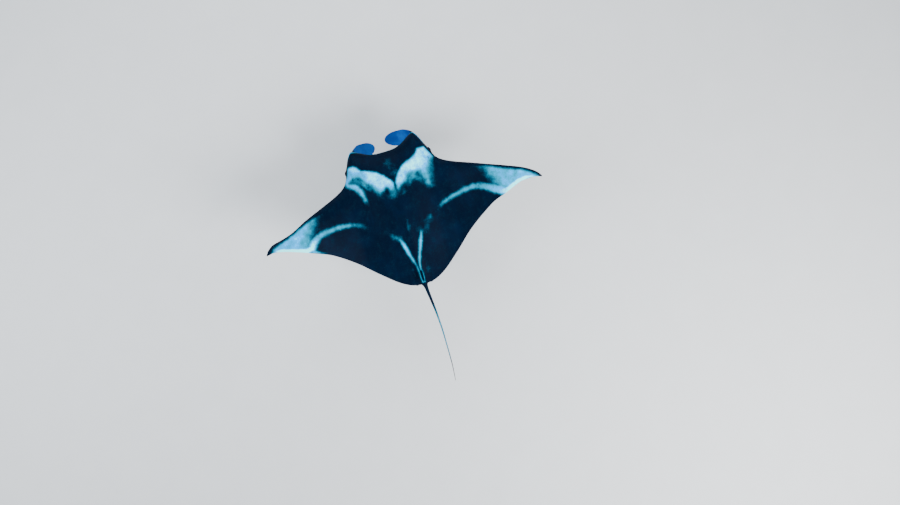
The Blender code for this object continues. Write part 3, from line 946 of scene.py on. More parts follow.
@dataclass(frozen=True)
class Markings:
    """The pale markings of the ray's back, each side its own.

    Shades are soft darker spots in them, as (across, ahead, size, depth).
    """

    patches: tuple[Patch, ...] = (
        Patch((
            (-0.004, 1.095), (-0.01, 1.166), (-0.03, 1.215), (-0.059, 1.257), (-0.1, 1.302), (-0.139, 1.337),
            (-0.19, 1.36), (-0.239, 1.375), (-0.303, 1.412), (-0.335, 1.462), (-0.418, 1.47),
            (-0.464, 1.405), (-0.482, 1.335), (-0.434, 1.244), (-0.39, 1.14), (-0.366, 1.05), (-0.345, 1.07),
            (-0.325, 1.13), (-0.3, 1.175), (-0.262, 1.212), (-0.21, 1.222), (-0.165, 1.2), (-0.135, 1.155),
            (-0.105, 1.12), (-0.07, 1.115), (-0.027, 1.084),
        ), 0.03, 0.105),
        Patch((
            (0.01, 1.08), (0.006, 1.165), (0.036, 1.217), (0.091, 1.277), (0.153, 1.333), (0.239, 1.37),
            (0.317, 1.402), (0.355, 1.452), (0.389, 1.472), (0.455, 1.475), (0.49, 1.428), (0.52, 1.357),
            (0.525, 1.31), (0.485, 1.296), (0.43, 1.322), (0.373, 1.318), (0.328, 1.28), (0.3, 1.24),
            (0.257, 1.2), (0.218, 1.143), (0.178, 1.11), (0.137, 1.104), (0.098, 1.13), (0.068, 1.096),
        ), 0.03, 0.085),
        Patch((
            (-0.76, 1.15), (-0.95, 1.075), (-1.02, 1.045), (-1.1, 1.004), (-1.161, 0.974), (-1.238, 0.944),
            (-1.317, 0.916), (-1.385, 0.886), (-1.44, 0.85), (-1.485, 0.812), (-1.505, 0.796), (-1.5, 0.77),
            (-1.45, 0.76), (-1.325, 0.77), (-1.2, 0.74), (-1.13, 0.7), (-1.06, 0.725), (-0.98, 0.77),
            (-0.76, 0.88),
        ), 0.045, 0.07, cap=0.78, fade=(0.8, 1.12), slant=0.45),
        Patch((
            (0.76, 1.12), (1.0, 1.018), (1.07, 0.985), (1.116, 0.968), (1.166, 0.942), (1.233, 0.915),
            (1.282, 0.895), (1.377, 0.866), (1.44, 0.842), (1.475, 0.814), (1.49, 0.78), (1.36, 0.765),
            (1.2, 0.715), (1.05, 0.65), (1.0, 0.7), (0.95, 0.79), (0.76, 0.86),
        ), 0.045, 0.07, cap=0.78, fade=(0.77, 1.09), slant=0.45),
    )
    strokes: tuple[Stroke, ...] = (
        Stroke((
            (0.52, 1.33, 0.03, 1.1), (0.49, 1.282, 0.042, 0.92), (0.455, 1.262, 0.05, 0.82),
            (0.412, 1.24, 0.056, 0.9), (0.386, 1.197, 0.048, 0.86), (0.37, 1.144, 0.036, 0.74),
            (0.362, 1.098, 0.022, 0.58), (0.356, 1.02, 0.004, 0.16),
        ), 0.05, 4.0),
        Stroke((
            (1.475, 0.806, 0.02, 1.1), (1.43, 0.812, 0.05, 1.25), (1.352, 0.796, 0.076, 1.25),
            (1.231, 0.758, 0.084, 1.25), (1.114, 0.722, 0.086, 1.25), (1.052, 0.735, 0.08, 1.15),
            (1.01, 0.785, 0.07, 1.0), (0.96, 0.83, 0.036, 0.75),
        ), 0.04),
        Stroke((
            (1.04, 0.76, 0.08, 1.05), (0.994, 0.806, 0.066, 0.92), (0.953, 0.834, 0.05, 0.78),
            (0.9, 0.848, 0.04, 0.7), (0.848, 0.857, 0.034, 0.66), (0.788, 0.865, 0.03, 0.62),
            (0.729, 0.869, 0.028, 0.62), (0.662, 0.871, 0.024, 0.58), (0.597, 0.866, 0.024, 0.62),
            (0.535, 0.848, 0.014, 0.46), (0.483, 0.821, 0.006, 0.3), (0.431, 0.792, 0.0, 0.05),
        ), 0.052, 5.0),
        Stroke(((1.06, 0.7, 0.028, 1.0), (0.985, 0.664, 0.01, 0.6), (0.93, 0.636, 0.004, 0.1)), 0.034),
        Stroke((
            (-1.49, 0.792, 0.02, 1.1), (-1.43, 0.814, 0.05, 1.25), (-1.37, 0.816, 0.074, 1.25),
            (-1.299, 0.806, 0.084, 1.25), (-1.243, 0.788, 0.086, 1.25), (-1.182, 0.756, 0.086, 1.15),
            (-1.12, 0.742, 0.086, 1.02), (-1.06, 0.765, 0.07, 0.88),
        ), 0.044),
        Stroke((
            (-1.115, 0.758, 0.08, 0.92), (-1.046, 0.783, 0.076, 0.88), (-0.988, 0.818, 0.066, 0.8),
            (-0.93, 0.852, 0.052, 0.7), (-0.869, 0.876, 0.04, 0.64), (-0.805, 0.889, 0.036, 0.64),
            (-0.751, 0.887, 0.034, 0.62), (-0.699, 0.881, 0.032, 0.64), (-0.643, 0.869, 0.03, 0.68),
            (-0.588, 0.86, 0.028, 0.7), (-0.533, 0.849, 0.022, 0.62), (-0.484, 0.831, 0.014, 0.52),
            (-0.425, 0.806, 0.006, 0.42), (-0.362, 0.759, 0.0, 0.06),
        ), 0.052, 5.0),
        Stroke((
            (0.235, 0.653, 0.04, 0.0), (0.205, 0.625, 0.04, 0.22), (0.187, 0.61, 0.04, 0.44),
            (0.15, 0.586, 0.03, 0.3), (0.128, 0.566, 0.03, 0.5),
        ), 0.06, 11.0),
        Stroke((
            (0.128, 0.566, 0.012, 0.5), (0.112, 0.538, 0.022, 0.8), (0.088, 0.46, 0.032, 1.1),
            (0.066, 0.37, 0.026, 1.05), (0.043, 0.292, 0.012, 0.8), (0.027, 0.226, 0.008, 0.7),
            (0.02, 0.162, 0.01, 0.64), (0.012, 0.088, 0.012, 0.72), (0.003, 0.02, 0.02, 1.0),
        ), 0.034),
        Stroke((
            (-0.29, 0.755, 0.05, 0.0), (-0.27, 0.712, 0.05, 0.26), (-0.25, 0.675, 0.05, 0.28),
            (-0.215, 0.63, 0.05, 0.18), (-0.18, 0.605, 0.05, 0.2), (-0.135, 0.59, 0.05, 0.34),
        ), 0.08, 7.0),
        Stroke((
            (-0.128, 0.59, 0.01, 0.42), (-0.116, 0.545, 0.02, 0.76), (-0.094, 0.485, 0.032, 1.0),
            (-0.061, 0.404, 0.026, 1.0), (-0.03, 0.32, 0.02, 0.95), (-0.012, 0.255, 0.012, 0.82),
            (-0.004, 0.19, 0.01, 0.72), (-0.004, 0.084, 0.012, 0.8), (-0.001, 0.02, 0.02, 1.0),
        ), 0.034),
        Stroke(((0.08, 0.275, 0.04, 0.0), (0.077, 0.2, 0.04, 0.22), (0.075, 0.12, 0.04, 0.0)), 0.07, 12.0),
        Stroke((
            (-0.078, 0.235, 0.04, 0.0), (-0.08, 0.17, 0.04, 0.24), (-0.08, 0.12, 0.04, 0.0),
        ), 0.07, 12.0),
        Stroke(((-0.018, 0.75, 0.04, 0.0), (-0.006, 0.67, 0.04, 0.28), (0.004, 0.6, 0.04, 0.0)), 0.07, 10.0),
        Stroke(((0.032, 1.47, 0.06, 0.0), (0.022, 1.4, 0.05, 0.21), (0.01, 1.33, 0.05, 0.12)), 0.1, 5.0),
        Stroke((
            (-0.028, 1.33, 0.06, 0.04), (-0.036, 1.275, 0.06, 0.2), (-0.024, 1.23, 0.05, 0.16),
        ), 0.1, 4.0),
        Stroke(((0.4, 1.33, 0.05, 0.56), (0.33, 1.275, 0.06, 0.6), (0.262, 1.2, 0.05, 0.42)), 0.06, 3.0),
        Stroke(((0.13, 1.085, 0.05, 0.2), (0.05, 1.058, 0.05, 0.34), (-0.06, 1.085, 0.05, 0.3)), 0.07, 4.0),
        Stroke(((-0.13, 1.14, 0.05, 0.4), (-0.205, 1.2, 0.04, 0.52), (-0.3, 1.15, 0.05, 0.36)), 0.07, 4.0),
    )
    shades: Rows = (
        (0.37, 1.365, 0.075, 0.26), (0.33, 1.31, 0.05, 0.2), (0.44, 1.34, 0.05, 0.22),
        (0.12, 1.12, 0.05, 0.3), (0.03, 1.115, 0.045, 0.3), (-0.085, 1.12, 0.055, 0.34),
        (-0.165, 1.235, 0.04, 0.2), (-0.44, 1.3, 0.05, 0.26), (-0.385, 1.19, 0.06, 0.28),
        (-0.3, 1.215, 0.05, 0.24),
    )

    def value(self, points: Array) -> Array:
        """How pale the back is at each of these points, as 0.5 on a marking's edge.

        Args:
            points: points of the skin.

        Returns:
            The values.
        """
        spots = np.stack([points[..., 0], ORIGIN_AHEAD - points[..., 1]], axis=-1).reshape(-1, 2)
        best = np.full(len(spots), NOT_PALE)
        for shape in self.patches + self.strokes:
            best = np.maximum(best, shape.value(spots))
        for across, ahead, size, depth in self.shades:
            apart = np.linalg.norm(spots - (across, ahead), axis=1) / size
            best = best - depth * np.exp(-apart * apart)
        return best.reshape(points.shape[:-1])


def stack(ring: Callable[[Array, float], Array], places: Array) -> Callable[[Array], list[Array]]:
    """Makes a feature's rings from the way to lay one, and their places."""
    return lambda angle: [ring(angle, float(at)) for at in places]


@dataclass
class Lobe:
    """A head fin: a cupped blade that hangs from the head's front corner and curls in below the mouth.

    Its middle line starts in the direction start and turns by a curl over its length.
    """

    side: Side
    start: float = math.radians(-84)
    curls: Pair = (math.radians(-74), math.radians(-108))
    length: float = 0.535
    root_reach: Pair = (0.374, 0.357)
    ahead_left: Profile = Profile(((0.0, 1.533), (0.25, 1.575), (0.6, 1.635), (1.0, 1.658)))
    ahead_right: Profile = Profile(((0.0, 1.555), (0.25, 1.6), (0.6, 1.662), (1.0, 1.686)))
    width: Profile = Profile(((0.0, 0.165), (0.25, 0.19), (0.5, 0.187), (0.75, 0.166), (1.0, 0.16)))
    round_from: float = 0.72
    thick: Profile = Profile(((0.0, 0.085), (0.2, 0.048), (0.5, 0.02), (0.75, 0.012), (1.0, 0.007)))
    cup: float = 0.02
    cup_full: float = 0.3
    seat_left: Place = (0.362, 1.568, -0.075)
    seat_right: Place = (-0.35, 1.587, -0.075)
    first: float = 0.2
    last: float = 0.9995
    crowding: float = 1.35
    steps: int = 44

    def ring(self, angle: Array, share: float) -> Array:
        """One ring of the fin.

        Args:
            angle: angles round it, from the leading edge by way of the side that faces in.
            share: how far along the fin it lies.

        Returns:
            Its points.
        """
        left = self.side is Side.LEFT
        curl = self.curls[0] if left else self.curls[1]
        root = self.root_reach[0] if left else self.root_reach[1]
        ahead = (self.ahead_left if left else self.ahead_right).at(share)
        heading = self.start + curl * share
        sign = self.side.value
        across = sign * (root + self.length * (math.sin(heading) - math.sin(self.start)) / curl)
        level = self.length * (math.cos(self.start) - math.cos(heading)) / curl
        rounded = max(0.0, (share - self.round_from) / (1 - self.round_from))
        half = float(self.width.at(share)) / 2 * math.sqrt(1 - rounded**2)
        normal = np.array([math.sin(heading) * sign, 0.0, -math.cos(heading)])
        cup = self.cup * float(ease(0, self.cup_full, share)) * (1 - rounded**2)
        along = np.cos(angle)
        thick = float(self.thick.at(share)) / 2 * np.sin(angle) * sign
        middle = np.array(place(across, float(ahead), level))
        return middle + np.outer(along * half, FORWARD) + np.outer(thick + cup * along**2, normal)

    def values(self, angle: Array, number: int) -> dict[str, Array | float]:
        """Attributes of one ring: the face that looks in towards the mouth takes the deep blue, a painted
        shade over that face's pale skin.
        """
        inward = ease(-0.15, 0.25, self.side.value * np.sin(angle))
        return {"inner": inward * ease(0, 5, number), "margin": 0.05, "pale": NOT_PALE}

    def graft(self) -> Graft:
        """The fin as a graft on the head's front corner.

        Returns:
            The graft.
        """
        seat = self.seat_left if self.side is Side.LEFT else self.seat_right
        grown = 1 - (1 - np.linspace(0, 1, self.steps)) ** self.crowding
        return Graft(
            Frame(place(*seat), (0.0, -0.9, 0.43), SIDEWAYS), radii=(0.078, 0.036), depth=(-0.045, 0.07),
            rings=stack(self.ring, self.first + (self.last - self.first) * grown), values=self.values,
            chart=(0.5, 0.08), smooth=10,
        )


@dataclass
class Tail:
    """The whip tail, which carries on from the middle of the rear edge."""

    reach: Profile = Profile((
        (-1.1, -0.022), (-0.88, -0.0385), (-0.55, -0.042), (-0.33, -0.033), (0.0, -0.004), (0.1, 0.0),
        (0.3, 0.0),
    ))
    level: Profile = Profile(((-1.1, -0.05), (-0.6, -0.044), (-0.2, -0.016), (0.1, 0.0), (0.3, 0.004)))
    half: Profile = Profile((
        (-1.1, 0.0024), (-0.88, 0.005), (-0.44, 0.009), (-0.055, 0.019), (0.12, 0.03), (0.3, 0.033),
    ))
    slimmer: float = 0.985
    flat: float = 0.85
    start: float = -0.006
    end: float = -1.099
    seat: float = 0.016
    # where the painted highlight, a sunlit glint along the tail's top, grows in and ends
    glint_grows: Pair = (-0.02, -0.42)
    glint_ends: Pair = (-1.05, -0.75)
    steps: int = 90

    def ring(self, angle: Array, ahead: float) -> Array:
        """One ring of the tail.

        Args:
            angle: angles round it.
            ahead: its place.

        Returns:
            Its points.
        """
        half = float(self.half.at(ahead)) * self.slimmer
        middle = np.array(place(float(self.reach.at(ahead)), ahead, float(self.level.at(ahead))))
        return middle + half * np.stack([-np.cos(angle), 0 * angle, self.flat * np.sin(angle)], axis=1)

    def values(self, angle: Array, number: int) -> dict[str, Array | float]:
        """Attributes of one ring: dark all round, with a painted highlight on top, a faint light line where
        sunlight glints.

        Args:
            angle: angles round the ring.
            number: the ring's number, from the root.

        Returns:
            The values by the attributes' names.
        """
        ahead = self.start + (self.end - self.start) * number / (self.steps - 1)
        # painted highlight: the glint along the top raises the pale value
        glint = ease(*self.glint_grows, ahead) * ease(*self.glint_ends, ahead)
        return {"margin": 0.03, "pale": -0.4 + 0.95 * glint * ease(0.2, 0.9, np.sin(angle))}

    def graft(self) -> Graft:
        """The tail as a graft on the rear edge.

        Returns:
            The graft.
        """
        return Graft(
            Frame(place(0.0, self.seat, 0.0), SIDEWAYS, UP), radii=(0.026, 0.024), depth=(-0.03, 0.02),
            rings=stack(self.ring, np.linspace(self.start, self.end, self.steps)), values=self.values,
            chart=(1.0, 0.02), smooth=6,
        )


@dataclass
class DorsalFin:
    """The small fin on the tail's root, leaning back to a rounded tip."""

    body: Body
    base: Pair = (0.062, 0.19)
    apex: Pair = (0.004, 0.034)
    height: float = 0.095
    thick: float = 0.015
    thinning: float = 0.55
    sink: float = 0.03
    seat: float = 0.128
    first: float = 0.36
    last: float = 0.995
    steps: int = 16

    def ring(self, angle: Array, share: float) -> Array:
        """One ring of the fin.

        Args:
            angle: angles round it.
            share: how far up the fin it lies.

        Returns:
            Its points.
        """
        floor = self.body.skin_level(0.0, self.base[0], True) - self.sink
        level = floor + (self.height + self.sink) * math.sin(share * math.pi / 2)
        lead = self.base[1] + (self.apex[1] - self.base[1]) * share**1.25
        trail = self.base[0] + (self.apex[0] - self.base[0]) * share
        long, thick = (lead - trail) / 2, self.thick * (1 - self.thinning * share) / 2
        middle = np.array(place(0.0, (lead + trail) / 2, level))
        return middle + np.outer(long * np.cos(angle), FORWARD) - np.outer(thick * np.sin(angle), SIDEWAYS)

    def graft(self) -> Graft:
        """The fin as a graft on the ridge of the back.

        Returns:
            The graft.
        """
        level, slope = self.body.lie(0.0, self.seat, up=True, forward=True)
        return Graft(
            Frame(place(0.0, self.seat, level), (0.0, -1.0, slope), (1.0, 0.0, 0.0)),
            radii=(0.068, 0.0125), depth=(-0.03, 0.03),
            rings=stack(self.ring, np.linspace(self.first, self.last, self.steps)),
            values=lambda angle, number: {"margin": 0.1, "pale": NOT_PALE}, chart=(0.25, 0.012), smooth=5,
        )


@dataclass
class PelvicFin:
    """A small rounded fin below the disc's rear edge, beside the tail."""

    side: Side
    root: Pair = (0.036, 0.132)
    tip: Pair = (0.052, 0.104)
    start: float = 0.19
    end: float = 0.022
    level: Pair = (-0.022, -0.03)
    thick: Pair = (0.014, 0.006)
    blunt: float = 0.06
    rounds: Pair = (0.45, 1.0)
    turns: Pair = (0.1, 0.4)
    seat: float = 0.15
    first: float = 0.19
    last: float = 0.995
    steps: int = 20

    def ring(self, angle: Array, share: float) -> Array:
        """One ring of the fin, which turns from the belly's plane to stand across the body as it grows.

        Args:
            angle: angles round it.
            share: how far along the fin it lies.

        Returns:
            Its points.
        """
        ahead = self.start + (self.end - self.start) * math.sin(share * math.pi / 2)
        rounded = math.sqrt(max(0.0, 1 - float(ease(*self.rounds, share)) ** 2))
        inner, outer = (a + (b - a) * share for a, b in zip(self.root, self.tip))
        half = (outer - inner) / 2 * (self.blunt + (1 - self.blunt) * rounded)
        turned = float(ease(*self.turns, share))
        tilt = math.pi / 2 * turned
        level = self.level[0] + (self.level[1] - self.level[0]) * share
        thick = (self.thick[0] + (self.thick[1] - self.thick[0]) * share) / 2
        up = np.array([0.0, math.cos(tilt), math.sin(tilt)]) * thick * (2 - turned)
        centre = np.array(place(self.side.value * (inner + outer) / 2, ahead, level))
        return centre + np.outer(np.cos(angle) * half, SIDEWAYS) + np.outer(np.sin(angle), up)

    def values(self, angle: Array, number: int) -> dict[str, Array | float]:
        """Attributes of one ring: dark above and white below."""
        return {"margin": -0.1 + 0.13 * ease(-0.2, 0.5, np.sin(angle)) * ease(0, 6, number)}

    def graft(self) -> Graft:
        """The fin as a graft on the belly.

        Returns:
            The graft.
        """
        seat = place(self.side.value * sum(self.root) / 2, self.seat, self.level[0])
        return Graft(
            Frame(seat, SIDEWAYS, (0.0, 1.0, -0.04)), radii=(0.048, 0.024), depth=(-0.02, 0.02),
            rings=stack(self.ring, np.linspace(self.first, self.last, self.steps)), values=self.values,
            chart=(0.25, 0.012), smooth=4,
        )


@dataclass
class EyeLid:
    """The fold of skin round an eye, and the socket behind it.

    Its rings are (degrees from the eye's axis, distance from the eyeball's middle), in over the fold's rim
    and then back round the eyeball.
    """

    seat: EyeSeat
    edgehighlight: Line = ((70, 0.0318), (64, 0.0333), (58, 0.0344), (52.5, 0.0346), (48.5, 0.0337), (46.8, 0.032))
    lining: Line = ((46.6, 0.0309), (50, 0.0304), (62, 0.0302), (85, 0.0302), (115, 0.0302), (150, 0.0302))
    narrow: float = 0.2
    hooded: float = 0.1
    oval_within: Pair = (1.3, 0.9)
    lifted: float = 0.008

    def ring(self, angle: Array, open_: float, radius: float) -> Array:
        """One ring about the eyeball, which the lids narrow, and more so from above.

        Args:
            angle: angles round the eye.
            open_: how far from the eye's axis the ring lies, in degrees.
            radius: its distance from the eyeball's middle.

        Returns:
            The ring's points.
        """
        rise = np.sin(angle)
        turn = math.radians(open_)
        oval = float(ease(*self.oval_within, turn))
        turn = turn * (1 - oval * (self.narrow * rise**2 + self.hooded * np.maximum(rise, 0)))
        out = np.array(self.seat.outward)
        flat = np.outer(np.cos(angle), np.cross(UP, out)) + np.outer(rise, UP)
        radial = flat * np.sin(turn)[:, None] + out * np.cos(turn)[:, None]
        return np.array(self.seat.centre) + radius * radial

    def graft(self) -> Graft:
        """The lids as a graft on the mound at the side of the head.

        Returns:
            The graft.
        """
        out = np.array(self.seat.outward)
        return Graft(
            Frame(np.array(self.seat.seat) + self.lifted * out, np.cross(UP, out), UP),
            radii=(0.034, 0.032), depth=(-0.03, 0.03),
            rings=lambda angle: [self.ring(angle, *ring) for ring in self.edgehighlight + self.lining],
            # painted shade: the lids' inner slope and the socket behind them take the near-black lining
            values=lambda angle, number: {"dark": ease(3, 7, number), "margin": 0.06},
            chart=(0.25, 0.012), smooth=2,
        )


@dataclass
class Slit:
    """A slit in the skin with a raised flap over it.

    Its rings are (length, width, height, cover): the first two as shares of the radii, the height as a share
    of the flap's or, below the skin and over deepest, of the depth, and how far the flap covers the ring.
    """

    centre: Place
    along: Place
    out: Place
    radii: Pair
    flap: float = 0.005
    depth: float = 0.02
    cover: float = 0.35
    rings: Rows = (
        (0.96, 0.84, 0.25, 0.0), (0.92, 0.66, 0.8, 0.1), (0.89, 0.5, 1.0, 0.4), (0.87, 0.36, 0.6, 0.8),
        (0.86, 0.27, -0.3, 0.9), (0.85, 0.3, -1.6, 0.8), (0.78, 0.4, -3.4, 0.4), (0.6, 0.3, -4.6, 0.2),
    )
    deepest: float = 4.6
    low_side: float = 0.3

    def __post_init__(self) -> None:
        """Finds the slit's frame."""
        self.frame = Frame(place(*self.centre), self.along, np.cross(self.out, self.along))

    def ring(self, angle: Array, length: float, width: float, height: float, cover: float) -> Array:
        """One ring of the slit.

        Args:
            angle: angles round it.
            length: its length, as a share of the slit's.
            width: its width, as a share of the slit's.
            height: how far it stands out, or lies sunk.
            cover: how far the flap covers it.

        Returns:
            Its points.
        """
        front = ease(-0.2, 0.8, np.sin(angle))
        deep = np.full(len(angle), self.depth * height / self.deepest)
        if height > 0:
            deep = self.flap * height * (self.low_side + (1 - self.low_side) * front)
        along = self.radii[0] * length * np.cos(angle)
        side = self.radii[1] * (width * np.sin(angle) - self.cover * cover * front)
        return self.frame.world(np.stack([along, side, deep], axis=1))

    def graft(self) -> Graft:
        """The slit as a graft.

        Returns:
            The graft.
        """
        return Graft(
            self.frame, radii=self.radii, depth=(-0.03, 0.03),
            rings=lambda angle: [self.ring(angle, *ring) for ring in self.rings],
            # painted shade: the slit's sunken walls take the near-black lining
            values=lambda angle, number: {"dark": ease(3, 5.5, number)}, chart=(0.25, 0.006), even=2,
        )


def tint(red: int, green: int, blue: int) -> Colour:
    """Turns a display colour of 0 to 255 into the linear one that a shader takes."""
    linear = [((c / 255 + 0.055) / 1.055) ** 2.4 if c > 10 else c / 255 / 12.92 for c in (red, green, blue)]
    return (*linear, 1.0)


class Wiring:
    """A material's nodes, put together step by step."""

    def __init__(self, name: str) -> None:
        """Starts a material with one Principled shader.

        Args:
            name: the material's name.
        """
        self.material = bpy.data.materials.new(name)
        self.material.use_nodes = True
        self.tree = self.material.node_tree
        self.shader = self.tree.nodes["Principled BSDF"]
        self.place = self.node("ShaderNodeTexCoord").outputs["Object"]

    def node(self, kind: str, settings: dict | None = None, inputs: dict | None = None) -> bpy.types.Node:
        """Adds a node.

        Args:
            kind: its type.
            settings: its own properties.
            inputs: what feeds its inputs, by name or number.

        Returns:
            The node.
        """
        made = self.tree.nodes.new(kind)
        for key, value in (settings or {}).items():
            setattr(made, key, value)
        for key, value in (inputs or {}).items():
            self.feed(made.inputs[key], value)
        return made

    def feed(self, socket: Socket, value: Value) -> None:
        """Links or sets an input.

        Args:
            socket: the input.
            value: another node's output, or the value itself.
        """
        if isinstance(value, Socket):
            self.tree.links.new(value, socket)
        else:
            socket.default_value = value

    def finish(self, name: str, value: Value) -> None:
        """Feeds one of the shader's own inputs."""
        self.feed(self.shader.inputs[name], value)

    def math(self, operation: str, *values: Value) -> Socket:
        """A sum, product or other operation on values."""
        return self.node("ShaderNodeMath", {"operation": operation}, dict(enumerate(values))).outputs[0]

    def times(self, value: Value, size: float) -> Socket:
        """A value times a number."""
        return self.math("MULTIPLY", value, size)

    def swing(self, value: Socket, noise: Socket, size: float) -> Socket:
        """A value moved up and down by a noise, which does nothing where it is a half."""
        return self.math("ADD", value, self.times(self.math("SUBTRACT", noise, 0.5), size))

    def step(self, value: Value, low: float, high: float) -> Socket:
        """0 below low, 1 above high, and smooth between; low may be above high."""
        inputs = {"Value": value, "From Min": low, "From Max": high}
        return self.node("ShaderNodeMapRange", {"interpolation_type": "SMOOTHSTEP"}, inputs).outputs[0]

    def between(self, value: Value, low: float, high: float) -> Socket:
        """Stretches a value from 0 to 1 over the range from low to high."""
        inputs = {"Value": value, "To Min": low, "To Max": high}
        return self.node("ShaderNodeMapRange", None, inputs).outputs[0]

    def noise(self, scale: float, detail: float = 3.0, stretch: Place | None = None) -> Socket:
        """Noise from 0 to 1 over the object.

        Args:
            scale: how fine it is.
            detail: how many finer layers it has.
            stretch: how fine it is along each axis, as against the others.

        Returns:
            The noise.
        """
        where = self.place
        if stretch:
            where = self.node("ShaderNodeMapping", None, {"Vector": where, "Scale": stretch}).outputs[0]
        inputs = {"Vector": where, "Scale": scale, "Detail": detail, "Roughness": 0.55}
        return self.node("ShaderNodeTexNoise", None, inputs).outputs["Fac"]

    def attribute(self, name: str) -> Socket:
        """One of the mesh's own attributes."""
        return self.node("ShaderNodeAttribute", {"attribute_name": name}).outputs["Fac"]

    def mix(self, factor: Value, first: Value, second: Value) -> Socket:
        """Blends two colours."""
        inputs = {0: factor, 6: first, 7: second}
        return self.node("ShaderNodeMix", {"data_type": "RGBA", "blend_type": "MIX"}, inputs).outputs[2]

    def ramp(self, factor: Value, stops: tuple[tuple[float, Colour], ...]) -> Socket:
        """Colours along a scale.

        Args:
            factor: the place on the scale.
            stops: places on it, each with its colour.

        Returns:
            The colour.
        """
        made = self.node("ShaderNodeValToRGB")
        self.feed(made.inputs[0], factor)
        elements = made.color_ramp.elements
        while len(elements) < len(stops):
            elements.new(0.5)
        for element, (position, colour) in zip(elements, stops):
            element.position = position
            element.color = colour
        return made.outputs[0]

    def bump(self, *layers: tuple[Socket, float, float]) -> None:
        """Roughens the surface.

        Args:
            layers: each (height, strength, distance).
        """
        under: dict[str, Socket] = {}
        for height, strength, distance in layers:
            inputs = {"Height": height, "Strength": strength, "Distance": distance} | under
            under = {"Normal": self.node("ShaderNodeBump", None, inputs).outputs[0]}
        self.finish("Normal", under["Normal"])


